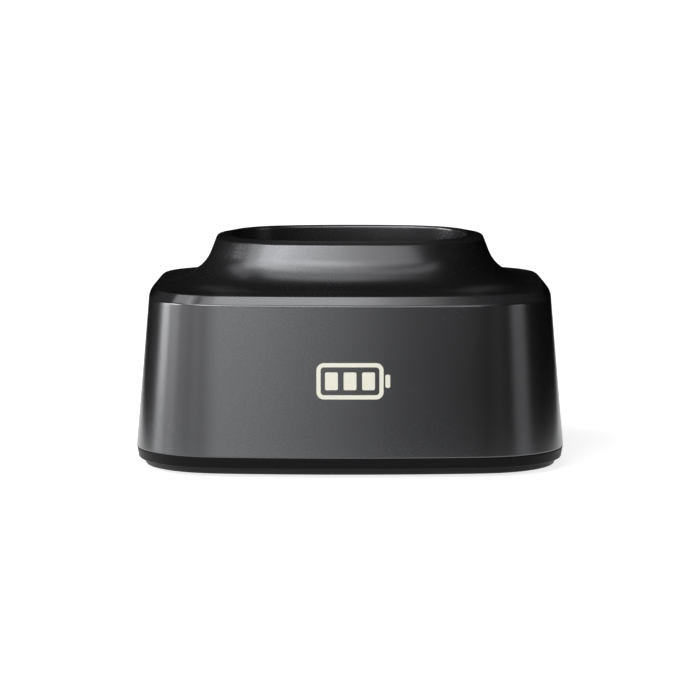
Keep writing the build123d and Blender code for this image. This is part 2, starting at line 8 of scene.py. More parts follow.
import bmesh
import bpy
import numpy as np
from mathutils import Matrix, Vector


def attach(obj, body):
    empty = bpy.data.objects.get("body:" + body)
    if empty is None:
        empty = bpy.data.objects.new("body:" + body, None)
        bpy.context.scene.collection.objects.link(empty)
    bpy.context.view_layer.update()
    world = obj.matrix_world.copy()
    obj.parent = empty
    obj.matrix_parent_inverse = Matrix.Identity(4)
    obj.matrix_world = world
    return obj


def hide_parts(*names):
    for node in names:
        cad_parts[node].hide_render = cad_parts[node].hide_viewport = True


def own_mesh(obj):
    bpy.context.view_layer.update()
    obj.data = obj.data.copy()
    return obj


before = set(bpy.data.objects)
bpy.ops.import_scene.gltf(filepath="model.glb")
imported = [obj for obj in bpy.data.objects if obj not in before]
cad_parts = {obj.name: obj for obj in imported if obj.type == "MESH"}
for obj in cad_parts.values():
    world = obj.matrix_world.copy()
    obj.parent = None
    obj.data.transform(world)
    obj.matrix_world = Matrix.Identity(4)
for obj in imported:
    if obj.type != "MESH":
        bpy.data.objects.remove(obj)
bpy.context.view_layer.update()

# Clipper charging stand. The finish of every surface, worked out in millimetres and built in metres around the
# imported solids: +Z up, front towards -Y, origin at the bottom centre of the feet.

MM = 0.001
LOG = logging.getLogger("charging_stand")

Places = tuple[tuple[float, float], ...]
Point = tuple[float, float, float]

# Millimetres: how far from its ends a flat run gets its first and last extra points, how far apart they lie between
# those, and the shortest run that gets any.
FLAT_MARGIN = 0.12
FLAT_STEP = 4.0
FLAT_LEAST = 0.6
# How many steps a rounded right angle gets.
ARC_STEPS = 7
# How many steps an outline is summed up in for each point that is kept, and the width of its bends' bell.
OUTLINE_STEPS = 4
BEND_SOFTNESS = 2.6


class Side(Enum):
    """The two sides of the stand, seen from the front, with their sign along X."""

    LEFT = -1
    RIGHT = 1


class Grain(Enum):
    """How a moulded surface is textured: the size of its grain in millimetres."""

    FINE = 0.16
    SATIN = 0.28
    COARSE = 0.55


# Outlines and profiles


@dataclass(frozen=True)
class Plan:
    """A rounded rectangle whose sides bow out: half sizes, corner radius and the two bows' radii."""

    half_x: float
    half_y: float
    corner: float
    bow_x: float
    bow_y: float

    def row(self) -> np.ndarray:
        """The five sizes as one array."""
        return np.array([self.half_x, self.half_y, self.corner, self.bow_x, self.bow_y])

    def inset(self, distance: float) -> "Plan":
        """The parallel outline that lies inside this one by a distance."""
        return Plan(*(self.row() - distance))


def plan_rings(rows: np.ndarray, columns: int) -> np.ndarray:
    """Points round each of many bowed rounded rectangles, anticlockwise from the middle of the +X side.

    The heading along an outline is a sum of ramps, one for each of its eight arcs. It is smoothed along the outline
    with a bell of a given width, so that curvature changes gradually, as on a moulded body, then summed up into
    points, which are stretched a little to the outline's own half sizes.

    Args:
        rows: One row of half_x, half_y, corner, bow_x and bow_y for each outline, in millimetres.
        columns: How many points each outline gets.

    Returns:
        An array of outline, point and x or y.
    """
    half_x, half_y, corner, bow_x, bow_y = (rows[:, [i]] for i in range(5))
    gap_x, gap_y = bow_x - half_x, half_y - bow_y
    gap = np.hypot(gap_x, gap_y)
    along = ((bow_x - corner) ** 2 - (bow_y - corner) ** 2 + gap**2) / (2 * gap)
    across = np.sqrt((bow_x - corner) ** 2 - along**2)
    centre_x = half_x - bow_x + (along * gap_x - across * gap_y) / gap
    centre_y = (along * gap_y + across * gap_x) / gap
    side_turn = np.arctan2(centre_y, centre_x + gap_x)
    back_turn = np.arctan2(centre_x, centre_y - gap_y)
    bend_turn = math.pi / 2 - side_turn - back_turn
    turns = np.concatenate([side_turn, bend_turn, 2 * back_turn, bend_turn, 2 * side_turn,
                            bend_turn, 2 * back_turn, bend_turn, side_turn], axis=1)
    radii = np.concatenate([bow_x, corner, bow_y, corner, bow_x, corner, bow_y, corner, bow_x], axis=1)
    lengths = turns * radii
    ends = np.cumsum(lengths, axis=1)
    total = ends[:, -1:]
    fine = columns * OUTLINE_STEPS
    place = (np.arange(fine) / fine) * total
    ramps = np.clip((place[:, None, :] - (ends - lengths)[:, :, None]) / lengths[:, :, None], 0, 1)
    heading = (ramps * turns[:, :, None]).sum(axis=1)
    steady = 2 * math.pi * place / total
    waves = np.fft.rfft(heading - steady, axis=1)
    bell = np.exp(-0.5 * (np.arange(waves.shape[1])[None, :] * 2 * math.pi * BEND_SOFTNESS / total) ** 2)
    heading = np.fft.irfft(waves * bell, fine, axis=1) + steady + math.pi / 2
    middle = (heading + np.concatenate([heading[:, 1:], heading[:, :1] + 2 * math.pi], axis=1)) / 2
    step = np.stack([np.cos(middle), np.sin(middle)], axis=2) * (total / fine)[:, :, None]
    points = np.cumsum(step, axis=1) - step
    points -= (points.max(axis=1, keepdims=True) + points.min(axis=1, keepdims=True)) / 2
    points *= rows[:, None, :2] / np.abs(points).max(axis=1, keepdims=True)
    return points[:, ::OUTLINE_STEPS]


@dataclass(frozen=True)
class Corner:
    """A corner of a profile: how far in from the widest outline, how high, and its rounding radius."""

    run: float
    height: float
    radius: float = 0.0


def rounded_corner(here: np.ndarray, before: np.ndarray, after: np.ndarray,
                   radius: float) -> tuple[np.ndarray, np.ndarray]:
    """An arc in place of one corner.

    It touches both runs at radius times the tangent of half the turn from the corner, and its points lie at equal
    angles.

    Args:
        here: The corner's run and height.
        before: Those of the corner before it.
        after: Those of the corner after it.
        radius: The arc's radius.

    Returns:
        The arc's points, and how rounded each is, from 0 at its ends to 1 in its middle.
    """
    back, ahead = before - here, after - here
    back, ahead = back / np.hypot(*back), ahead / np.hypot(*ahead)
    opening = math.acos(float(np.clip(back @ ahead, -1, 1)))
    reach = radius / math.tan(opening / 2)
    middle = here + (back + ahead) / np.hypot(*(back + ahead)) * radius / math.sin(opening / 2)
    first = here + back * reach - middle
    last = here + ahead * reach - middle
    turn = math.pi - opening
    share = np.linspace(0, 1, max(3, round(ARC_STEPS * turn / (math.pi / 2))) + 1)[:, None]
    arc = (np.sin((1 - share) * turn) * first + np.sin(share * turn) * last) / math.sin(turn)
    return middle + arc, np.sin(share[:, 0] * math.pi) ** 0.5


def flat_points(start: np.ndarray, end: np.ndarray) -> np.ndarray:
    """Extra points along a straight run, one close to each end and one every few millimetres, if it is long enough.

    Args:
        start: The run's first point.
        end: The run's last point.

    Returns:
        The points between them, which may be none.
    """
    length = float(np.hypot(*(end - start)))
    if length <= FLAT_LEAST:
        return np.zeros((0, 2))
    steps = np.arange(1, int(length / FLAT_STEP) + 1) * FLAT_STEP
    inside = np.unique(np.concatenate([[FLAT_MARGIN], steps, [length - FLAT_MARGIN]]))
    inside = inside[(inside > 0.1) & (inside < length - 0.1)]
    return start + (end - start) * (inside / length)[:, None]


def rounded_profile(corners: Sequence[Corner], closed: bool) -> tuple[np.ndarray, np.ndarray]:
    """A profile with its corners rounded by arcs, and rows beside each arc that keep long runs flat.

    Args:
        corners: The corners in order.
        closed: Whether the last corner joins the first.

    Returns:
        The points, one row each of run and height, and how rounded each is, from 0 on a flat to 1 on an edge.
    """
    places = np.array([[corner.run, corner.height] for corner in corners])
    count = len(corners)
    pieces: list[tuple[np.ndarray, np.ndarray]] = []
    for index, corner in enumerate(corners):
        if corner.radius > 0 and (closed or 0 < index < count - 1):
            pieces.append(rounded_corner(places[index], places[index - 1], places[(index + 1) % count], corner.radius))
        else:
            pieces.append((places[index][None, :], np.zeros(1)))
    points, edges = [pieces[0][0]], [pieces[0][1]]
    for piece, mark in pieces[1:]:
        flat = flat_points(points[-1][-1], piece[0])
        points += [flat, piece]
        edges += [np.zeros(len(flat)), mark]
    if closed:
        flat = flat_points(points[-1][-1], points[0][0])
        points.append(flat)
        edges.append(np.zeros(len(flat)))
    return np.concatenate(points), np.concatenate(edges)


def arc_corners(centre: tuple[float, float], radius: float, start: float, stop: float, count: int) -> list[Corner]:
    """Plain profile points along an arc that hangs below its centre.

    Args:
        centre: The centre's run and height.
        radius: The arc's radius.
        start: The first point's angle in degrees from straight down.
        stop: The last point's angle.
        count: How many points.

    Returns:
        One unrounded corner for each point.
    """
    angles = np.radians(np.linspace(start, stop, count))
    runs = centre[0] + radius * np.sin(angles)
    heights = centre[1] - radius * np.cos(angles)
    return [Corner(float(run), float(height)) for run, height in zip(runs, heights)]


# Meshes


@dataclass
class Surface:
    """A grid of points, row by row, that wraps round along its columns, and may close along its rows."""

    points: np.ndarray
    edge: np.ndarray
    closed: bool = False
    first_cap: bool = False
    last_cap: bool = False

    def arrays(self) -> tuple[np.ndarray, np.ndarray, np.ndarray, np.ndarray]:
        """The grid as vertices, quads, triangles and edge marks.

        A quad joins point j and j + 1 of row i with those of row i + 1. A cap joins an end row to its own middle.

        Returns:
            The vertices, the quads and triangles by vertex number, and the edge mark of each vertex.
        """
        rows, columns = self.points.shape[:2]
        vertices = self.points.reshape(-1, 3)
        edge = np.repeat(self.edge, columns)
        down = np.arange(rows if self.closed else rows - 1)[:, None]
        across = np.arange(columns)[None, :]
        near, far = down * columns, (down + 1) % rows * columns
        ahead = (across + 1) % columns
        quads = np.stack([near + across, near + ahead, far + ahead, far + across], axis=2).reshape(-1, 4)
        triangles = np.zeros((0, 3), int)
        for wanted, row, turned in ((self.first_cap, 0, True), (self.last_cap, rows - 1, False)):
            if wanted:
                middle = len(vertices)
                vertices = np.vstack([vertices, self.points[row].mean(axis=0)])
                edge = np.append(edge, 0.0)
                ring = row * columns + np.arange(columns)
                after = row * columns + (np.arange(columns) + 1) % columns
                pair = (after, ring) if turned else (ring, after)
                fan = np.stack([*pair, np.full(columns, middle)], axis=1)
                triangles = np.vstack([triangles, fan])
        return vertices, quads, triangles, edge


def mesh_object(name: str, surfaces: Sequence[Surface], sharp: float = 40.0) -> bpy.types.Object:
    """One object from one or more closed surfaces given in millimetres.

    Args:
        name: The piece's name.
        surfaces: Its surfaces, each a closed skin with its faces outwards.
        sharp: Edges that turn more than this many degrees are drawn sharp.

    Returns:
        The new object, at the origin, with an attribute "edge" that is 1 on rounded edges and 2 on glossy bands;
        a moulded finish paints both paler, partly as a painted highlight.
    """
    vertices, loops, starts, edges = [], [], [], []
    offset, loop_count = 0, 0
    for surface in surfaces:
        points, quads, triangles, edge = surface.arrays()
        vertices.append(points)
        edges.append(edge)
        for faces in (quads, triangles):
            loops.append(faces.reshape(-1) + offset)
            starts.append(loop_count + np.arange(len(faces)) * faces.shape[1])
            loop_count += faces.size
        offset += len(points)
    mesh = bpy.data.meshes.new(name)
    mesh.vertices.add(offset)
    mesh.vertices.foreach_set("co", (np.concatenate(vertices) * MM).astype(np.float32).ravel())
    mesh.loops.add(loop_count)
    mesh.loops.foreach_set("vertex_index", np.concatenate(loops).astype(np.int32))
    all_starts = np.concatenate(starts).astype(np.int32)
    mesh.polygons.add(len(all_starts))
    mesh.polygons.foreach_set("loop_start", all_starts)
    mesh.update(calc_edges=True)
    mesh.validate()
    attribute = mesh.attributes.new("edge", "FLOAT", "POINT")
    attribute.data.foreach_set("value", np.concatenate(edges).astype(np.float32))
    piece = bpy.data.objects.new(name, mesh)
    bpy.context.scene.collection.objects.link(piece)
    smooth_by_angle(piece, sharp)
    return piece


def smooth_by_angle(piece: bpy.types.Object, degrees: float) -> None:
    """Draws a piece smooth, apart from edges that turn by more than an angle."""
    piece.data.polygons.foreach_set("use_smooth", np.ones(len(piece.data.polygons), bool))
    piece.data.set_sharp_from_angle(angle=math.radians(degrees))


def lathe(profile: Sequence[tuple[float, float]], x: float = 0.0, y: float = 0.0, columns: int = 40,
          closed: bool = False) -> Surface:
    """A turned skin: each profile point of radius and height is carried round an upright axis.

    Args:
        profile: The points, from one end of the axis to the other, or once round a hollow section.
        x: The axis's x.
        y: The axis's y.
        columns: How many points go round.
        closed: Whether the last point joins the first. Otherwise both ends are capped.

    Returns:
        The closed skin.
    """
    shape = np.array(profile, float)
    angle = np.arange(columns) / columns * 2 * math.pi
    points = np.empty((len(shape), columns, 3))
    points[..., 0] = x + shape[:, :1] * np.cos(angle)
    points[..., 1] = y + shape[:, :1] * np.sin(angle)
    points[..., 2] = shape[:, 1:]
    ends = not closed
    return Surface(points, np.zeros(len(shape)), closed, first_cap=ends, last_cap=ends)


@dataclass(frozen=True)
class Posts:
    """A set of equal hollow upright posts for screws."""

    inner: float
    outer: float
    low: float
    high: float
    places: Places

    def skins(self) -> list[Surface]:
        """One skin for each post, in the order of their places."""
        section = [(self.outer, self.low), (self.outer, self.high), (self.inner, self.high), (self.inner, self.low)]
        return [lathe(section, x, y, closed=True) for x, y in self.places]


def stacked_box(half_x: float, half_y: float, rows: Sequence[tuple[float, float]], x: float = 0.0, y: float = 0.0,
                corner: float = 0.3) -> Surface:
    """A skin whose rows are rounded rectangles, each a little inside the widest one.

    A corner's points lie at equal angles on a circle, round a centre that stands in from the sides by its radius.

    Args:
        half_x: Half of the widest row's length along X.
        half_y: Half of its length along Y.
        rows: Each row's inset and height, from the bottom up.
        x: The middle's x.
        y: The middle's y.
        corner: The radius of the widest row's corners.

    Returns:
        The closed skin.
    """
    shape = np.array(rows, float)
    quarter = np.radians(np.linspace(0, 90, 6))
    angle = np.concatenate([quarter + turn * math.pi / 2 for turn in range(4)])[None, :]
    way_x, way_y = np.repeat([1, -1, -1, 1], 6)[None, :], np.repeat([1, 1, -1, -1], 6)[None, :]
    inset = shape[:, :1]
    radius = np.maximum(corner - inset, 0.01)
    points = np.empty((len(shape), 24, 3))
    points[..., 0] = x + way_x * (half_x - inset - radius) + radius * np.cos(angle)
    points[..., 1] = y + way_y * (half_y - inset - radius) + radius * np.sin(angle)
    points[..., 2] = shape[:, 1:]
    return Surface(points, np.zeros(len(shape)), first_cap=True, last_cap=True)


def soft_rows(low: float, high: float, edge: float, lean: float = 0.0) -> list[tuple[float, float]]:
    """Rows for a box whose lower and upper edges are quarter circles.

    Args:
        low: The bottom's height.
        high: The top's height.
        edge: The radius of the quarter circles.
        lean: How far the sides lean in towards the top.

    Returns:
        Each row's inset and height, from the bottom up.
    """
    turns = [math.radians(angle) for angle in (0, 22.5, 45, 67.5, 90)]
    return ([(edge * (1 - math.sin(turn)), low + edge * (1 - math.cos(turn))) for turn in turns]
            + [(lean + edge * (1 - math.cos(turn)), high - edge * (1 - math.sin(turn))) for turn in turns])


def strip(path: Sequence[tuple[float, float]], x: float, width: float, thickness: float) -> Surface:
    """A flat metal strip that follows a path of y and z, its width along X.

    Each row is a rectangle round a path point, square to the mean of the runs before and after it.

    Args:
        path: The points of y and z.
        x: The middle of its width.
        width: Its width.
        thickness: Its thickness, negative where the path runs the other way round.

    Returns:
        The closed skin.
    """
    line = np.array(path, float)
    along = np.gradient(line, axis=0)
    along /= np.hypot(along[:, 0], along[:, 1])[:, None]
    side = np.stack([-along[:, 1], along[:, 0]], axis=1)[:, None, :] * thickness / 2
    across = np.array([1, -1, -1, 1]) * width / 2
    lift = np.array([-1, -1, 1, 1])[None, :, None]
    points = np.empty((len(line), 4, 3))
    points[..., 0] = x + across
    points[..., 1:] = line[:, None, :] + side * lift
    return Surface(points, np.zeros(len(line)), first_cap=True, last_cap=True)


def laid(surface: Surface, y: float, z: float) -> Surface:
    """Lays down a skin that was turned round an upright axis, so that its axis runs along Y.

    Args:
        surface: The skin, which is changed. Its own height becomes the way along Y.
        y: The y of its height's zero.
        z: The height that its axis comes to lie at.

    Returns:
        The same skin.
    """
    x, across, up = (surface.points[..., i] for i in range(3))
    surface.points = np.stack([x, y + up, z - across], axis=2)
    return surface


def swept_plans(profile: np.ndarray, edge: np.ndarray, plans: "PlanMap", columns: int, closed: bool,
                caps: bool = False) -> Surface:
    """A skin whose rows are outlines: each profile point is an outline's inset and its height.

    Args:
        profile: The points of inset and height.
        edge: The mark of each point.
        plans: The outlines.
        columns: How many points each outline gets.
        closed: Whether the last row joins the first.
        caps: Whether the end rows are capped.

    Returns:
        The skin.
    """
    rings = plan_rings(plans.rows(profile[:, 0]), columns)
    heights = np.repeat(profile[:, 1][:, None, None], columns, axis=1)
    return Surface(np.concatenate([rings, heights], axis=2), edge, closed, caps, caps)


@dataclass(frozen=True)
class PlanMap:
    """Outlines by how far they stand in from the widest one, straight between the given stations."""

    stations: tuple[tuple[float, Plan], ...]

    def rows(self, runs: np.ndarray) -> np.ndarray:
        """The outlines' sizes at some insets.

        Args:
            runs: The insets.

        Returns:
            One row of sizes for each.
        """
        at = np.array([run for run, _ in self.stations])
        values = np.stack([plan.row() for _, plan in self.stations])
        return np.stack([np.interp(runs, at, column) for column in values.T], axis=1)


def carve(piece: bpy.types.Object, cutters: Sequence[bpy.types.Object]) -> None:
    """Cuts solids out of a piece and deletes them.

    Args:
        piece: The piece, which keeps its name.
        cutters: The solids.
    """
    for cutter in cutters:
        change = piece.modifiers.new("carve", "BOOLEAN")
        change.operation, change.solver, change.object = "DIFFERENCE", "EXACT", cutter
        bpy.context.view_layer.update()
        graph = bpy.context.evaluated_depsgraph_get()
        mesh = bpy.data.meshes.new_from_object(piece.evaluated_get(graph))
        piece.modifiers.remove(change)
        old, piece.data = piece.data, mesh
        mesh.name = piece.name
        bpy.data.meshes.remove(old)
        bpy.data.objects.remove(cutter)


def repeated(piece: bpy.types.Object, name: str, places: Sequence[Point],
             turned: bool = False) -> bpy.types.Object:
    """Copies of a piece at several places, as one new piece in its stead.

    Args:
        piece: The piece, which is deleted.
        name: The new piece's name.
        places: Where each copy's origin goes, in millimetres.
        turned: Whether each copy is turned upside down about X.

    Returns:
        The new object.
    """
    mesh = piece.data
    points = np.empty(len(mesh.vertices) * 3, np.float32)
    mesh.vertices.foreach_get("co", points)
    points = points.reshape(-1, 3) * ((1, -1, -1) if turned else (1, 1, 1))
    corners = np.empty(len(mesh.loops), np.int32)
    mesh.loops.foreach_get("vertex_index", corners)
    starts = np.empty(len(mesh.polygons), np.int32)
    mesh.polygons.foreach_get("loop_start", starts)
    count = np.arange(len(places))[:, None]
    made = bpy.data.meshes.new(name)
    made.vertices.add(len(points) * len(places))
    shifted = points[None] + np.array(places, np.float32)[:, None, :] * MM
    made.vertices.foreach_set("co", shifted.astype(np.float32).ravel())
    made.loops.add(len(corners) * len(places))
    made.loops.foreach_set("vertex_index", (corners[None] + count * len(points)).astype(np.int32).ravel())
    made.polygons.add(len(starts) * len(places))
    made.polygons.foreach_set("loop_start", (starts[None] + count * len(corners)).astype(np.int32).ravel())
    made.update(calc_edges=True)
    made.validate()
    bpy.data.objects.remove(piece)
    bpy.data.meshes.remove(mesh)
    result = bpy.data.objects.new(name, made)
    bpy.context.scene.collection.objects.link(result)
    smooth_by_angle(result, 35.0)
    return result


def merged_copy(node: str, name: str, sharp: float = 30.0, bevel: float = 0.0) -> bpy.types.Object:
    """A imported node's own shape as a new piece, its loose triangles joined and its edges softened.

    Args:
        node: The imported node.
        name: The piece's name.
        sharp: Edges that turn more than this many degrees are drawn sharp.
        bevel: The width in millimetres of the bevel along such edges, or 0 for none.

    Returns:
        The new object.
    """
    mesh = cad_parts[node].data.copy()
    mesh.materials.clear()
    work = bmesh.new()
    work.from_mesh(mesh)
    bmesh.ops.remove_doubles(work, verts=work.verts, dist=1e-6)
    bmesh.ops.dissolve_limit(work, angle_limit=math.radians(0.5), verts=work.verts, edges=work.edges)
    work.to_mesh(mesh)
    work.free()
    piece = bpy.data.objects.new(name, mesh)
    bpy.context.scene.collection.objects.link(piece)
    smooth_by_angle(piece, sharp)
    if bevel:
        change = piece.modifiers.new("bevel", "BEVEL")
        change.width, change.segments = bevel * MM, 2
        change.limit_method, change.angle_limit = "ANGLE", math.radians(sharp)
        change.harden_normals = True
    return piece


# Materials


Number = Union["Value", float]
Colour = tuple[float, float, float]


@dataclass(frozen=True)
class Value:
    """A node's output, on which Python's arithmetic adds Math nodes."""

    recipe: "Recipe"
    socket: bpy.types.NodeSocket

    def maths(self, operation: str, *terms: Number) -> "Value":
        """The result of one Math node on up to three terms."""
        return self.recipe.node("ShaderNodeMath", {"operation": operation}, dict(enumerate(terms)))

    def __add__(self, other: Number) -> "Value":
        """This value plus another."""
        return self.maths("ADD", self, other)

    __radd__ = __add__

    def __sub__(self, other: Number) -> "Value":
        """This value less another."""
        return self.maths("SUBTRACT", self, other)

    def __rsub__(self, other: Number) -> "Value":
        """A number less this value."""
        return self.maths("SUBTRACT", other, self)

    def __mul__(self, other: Number) -> "Value":
        """This value times another."""
        return self.maths("MULTIPLY", self, other)

    __rmul__ = __mul__

    def power(self, exponent: Number) -> "Value":
        """This value raised to a power."""
        return self.maths("POWER", self, exponent)

    def over(self, limit: Number) -> "Value":
        """1 where this value is above a limit, otherwise 0."""
        return self.maths("GREATER_THAN", self, limit)

    def larger(self, other: Number) -> "Value":
        """The larger of this value and another."""
        return self.maths("MAXIMUM", self, other)

    def smaller(self, other: Number) -> "Value":
        """The smaller of this value and another."""
        return self.maths("MINIMUM", self, other)

    def size(self) -> "Value":
        """This value without its sign."""
        return self.maths("ABSOLUTE", self)

    def wave(self) -> "Value":
        """The sine of this value."""
        return self.maths("SINE", self)

    def fraction(self) -> "Value":
        """What is left of this value over its whole number."""
        return self.maths("FRACT", self)

    def ramp(self, low: float, high: float) -> "Value":
        """0 below a low limit, 1 above a high one, and a smooth step between them."""
        return self.recipe.node("ShaderNodeMapRange", {"interpolation_type": "SMOOTHSTEP"},
                                {"Value": self, "From Min": low, "From Max": high})


class Recipe:
    """A material, or the world, while its nodes are put together."""

    def __init__(self, name: str, world: bool = False) -> None:
        """Starts an empty material or world.

        Args:
            name: Its name.
            world: Whether it is the world.
        """
        self.material = (bpy.data.worlds if world else bpy.data.materials).new(name)
        self.material.use_nodes = True
        self.ending = "ShaderNodeOutputWorld" if world else "ShaderNodeOutputMaterial"
        self.tree = self.material.node_tree
        self.tree.nodes.clear()

    def node(self, kind: str, settings: Optional[Mapping[str, Any]] = None,
             inputs: Optional[Mapping[Union[int, str], Any]] = None, output: Union[int, str] = 0) -> Value:
        """Adds one node.

        Args:
            kind: The node's type.
            settings: Its own settings, set first.
            inputs: Values or links for its sockets, by name or number.
            output: Which output to give back.

        Returns:
            The chosen output.
        """
        made = self.tree.nodes.new(kind)
        for key, value in (settings or {}).items():
            setattr(made, key, value)
        for key, value in (inputs or {}).items():
            if isinstance(value, Value):
                self.tree.links.new(value.socket, made.inputs[key])
            else:
                made.inputs[key].default_value = value
        return Value(self, made.outputs[output])

    def place(self) -> Value:
        """Object coordinates, in metres."""
        return self.node("ShaderNodeTexCoord", output="Object")

    def axes(self) -> tuple[Value, Value, Value]:
        """X, Y and Z in millimetres, each on its own."""
        parts = self.node("ShaderNodeSeparateXYZ", inputs={0: self.place()})
        outputs = parts.socket.node.outputs
        return tuple(Value(self, outputs[i]) * (1 / MM) for i in range(3))

    def noise(self, size: float, detail: float = 2.0, stretch: Point = (1.0, 1.0, 1.0),
              warp: float = 0.0) -> Value:
        """Noise from 0 to 1.

        Args:
            size: The size of its features in millimetres.
            detail: How many finer layers it has.
            stretch: How dense it is along each axis.
            warp: How much it is distorted.

        Returns:
            The noise.
        """
        place = self.node("ShaderNodeMapping", inputs={"Vector": self.place(), "Scale": stretch})
        return self.node("ShaderNodeTexNoise", inputs={
            "Vector": place, "Scale": 1 / (size * MM), "Detail": detail, "Roughness": 0.55, "Distortion": warp})

    def cells(self, size: float) -> Value:
        """Distance within a pattern of cells of a size in millimetres."""
        return self.node("ShaderNodeTexVoronoi", inputs={"Vector": self.place(), "Scale": 1 / (size * MM)},
                         output="Distance")

    def mark(self, name: str) -> Value:
        """A number painted on the mesh."""
        return self.node("ShaderNodeAttribute", {"attribute_name": name}, output="Fac")

    def blend(self, share: Number, first: Union[Value, Colour], second: Union[Value, Colour]) -> Value:
        """A colour between two others.

        Args:
            share: 0 for the first, 1 for the second.
            first: The first colour.
            second: The second colour.

        Returns:
            The colour.
        """
        ends = [end if isinstance(end, Value) else (*end, 1.0) for end in (first, second)]
        return self.node("ShaderNodeMix", {"data_type": "RGBA"}, {0: share, 6: ends[0], 7: ends[1]}, output=2)

    def bump(self, height: Value, depth: float) -> Value:
        """A normal from a height between 0 and 1 that stands for a depth in millimetres."""
        return self.node("ShaderNodeBump", inputs={"Strength": 1.0, "Distance": depth * MM, "Height": height})

    def line(self, place: Value, width: float) -> Value:
        """1 within half a width of a place's zero, fading to 0 just outside."""
        return 1 - place.size().ramp(width * 0.4, width * 0.6)

    def surface(self, **sockets: Any) -> bpy.types.Material:
        """Ends the material with one Principled shader.

        Args:
            sockets: Values, links or colours for the shader, with underscores for the spaces in their names.

        Returns:
            The finished material.
        """
        inputs = {key.replace("_", " "): (*value, 1.0) if isinstance(value, tuple) else value
                  for key, value in sockets.items()}
        shader = self.node("ShaderNodeBsdfPrincipled", inputs=inputs)
        self.node_output(shader)
        return self.material

    def node_output(self, shader: Value) -> None:
        """Joins a shader to the end of the material or world."""
        end = self.tree.nodes.new(self.ending)
        self.tree.links.new(shader.socket, end.inputs["Surface"])

    def seen(self) -> Value:
        """1 for what the camera, a mirror or glass shows, otherwise 0."""
        kinds = ("Camera", "Glossy", "Transmission")
        camera, mirror, glass = (self.node("ShaderNodeLightPath", output=f"Is {kind} Ray") for kind in kinds)
        return (camera + mirror + glass).smaller(1.0)


@dataclass(frozen=True)
class Finish:
    """What every finish has: a name, the record's slot it belongs to, a colour and a roughness."""

    name: str
    slot: str
    colour: Colour
    roughness: float

    @cache
    def material(self) -> bpy.types.Material:
        """The finish's material, made once."""
        return self.mix()

    def mix(self) -> bpy.types.Material:
        """Makes the material, as each finish does in its own way."""
        raise NotImplementedError

    def shade(self, factor: float) -> Colour:
        """The finish's colour, lighter or darker by a factor."""
        return tuple(min(1.0, channel * factor) for channel in self.colour)


@dataclass(frozen=True)
class MouldedPlastic(Finish):
    """Satin moulded plastic: a fine mould grain, slow clouds of tone, handling smudges, and glossier edges painted
    paler, partly as rubbing wear and partly as a painted highlight.

    The mark "edge" is 1 on a rounded edge and 2 on a glossy band, which a clear coat stands for. A band gets the
    full paler tone, a painted sheen, and a rounded edge half of it.
    """

    grain: Grain = Grain.SATIN
    depth: float = 0.00025
    smudge: float = 0.018
    polish: float = 0.10
    specular: float = 0.5
    rubbed_and_sheen: float = 1.5
    banded: bool = False

    def mix(self) -> bpy.types.Material:
        """Makes the material.

        Returns:
            The finished material.
        """
        recipe = Recipe(self.name)
        grain = recipe.noise(self.grain.value, 2.0)
        cloud = recipe.noise(11.0, 3.0)
        smear = recipe.noise(24.0, 4.0, (1.0, 1.0, 0.45), 0.6).ramp(0.42, 0.7)
        edge = recipe.mark("edge")
        body = recipe.blend(cloud, self.shade(0.9), self.shade(1.1))
        # Edges and bands are painted paler: partly rubbing wear, partly a painted highlight where they catch the
        # light.
        tone = recipe.blend((edge * 0.5).smaller(1.0), body, self.shade(self.rubbed_and_sheen))
        gloss = self.roughness + (grain - 0.5) * 0.03 - smear * self.smudge - edge.smaller(1.0) * self.polish
        coat = {}
        if self.banded:
            coat = {"Coat_Weight": (edge - 1.0).larger(0.0), "Coat_Roughness": 0.14, "Coat_IOR": 1.85}
        return recipe.surface(Base_Color=tone, Roughness=gloss.larger(0.08), IOR=1.585,
                              Specular_IOR_Level=self.specular, Specular_Tint=(0.95, 0.965, 1.0),
                              Normal=recipe.bump(grain, self.depth), **coat)


@dataclass(frozen=True)
class PadPrint(Finish):
    """A thick matt ink printed on plastic, with a slightly uneven film."""

    def mix(self) -> bpy.types.Material:
        """Makes the material.

        Returns:
            The finished material.
        """
        recipe = Recipe(self.name)
        film = recipe.noise(0.9, 3.0)
        tone = recipe.blend(film, self.shade(0.965), self.shade(1.02))
        return recipe.surface(Base_Color=tone, Roughness=self.roughness + (film - 0.5) * 0.12,
                              Normal=recipe.bump(film, 0.004))


@dataclass(frozen=True)
class BareMetal(Finish):
    """Turned, rolled or plated metal: fine drawing lines along one axis and a tarnish that dulls it in patches."""

    lines: Colour = (1.0, 1.0, 0.05)
    tarnish: float = 0.18

    def mix(self) -> bpy.types.Material:
        """Makes the material.

        Returns:
            The finished material.
        """
        recipe = Recipe(self.name)
        line = recipe.noise(0.12, 3.0, self.lines)
        patch = recipe.noise(5.0, 4.0, warp=0.5).ramp(0.4, 0.75)
        tone = recipe.blend(patch * self.tarnish * 2, self.colour, self.shade(0.62))
        gloss = self.roughness + (line - 0.5) * 0.14 + patch * self.tarnish
        return recipe.surface(Base_Color=tone, Metallic=1.0, Roughness=gloss.larger(0.06),
                              Normal=recipe.bump(line, 0.0012))


@dataclass(frozen=True)
class MouldedRubber(Finish):
    """Soft rubber: matt, with fine pits and a paler bloom of dust that gathers in patches."""

    def mix(self) -> bpy.types.Material:
        """Makes the material.

        Returns:
            The finished material.
        """
        recipe = Recipe(self.name)
        pits = recipe.cells(0.35)
        bloom = recipe.noise(3.0, 5.0).ramp(0.45, 0.8)
        tone = recipe.blend(bloom * 0.5, self.colour, self.shade(2.2))
        return recipe.surface(Base_Color=tone, Roughness=self.roughness + bloom * 0.08, Specular_IOR_Level=0.3,
                              Normal=recipe.bump(pits, 0.01))


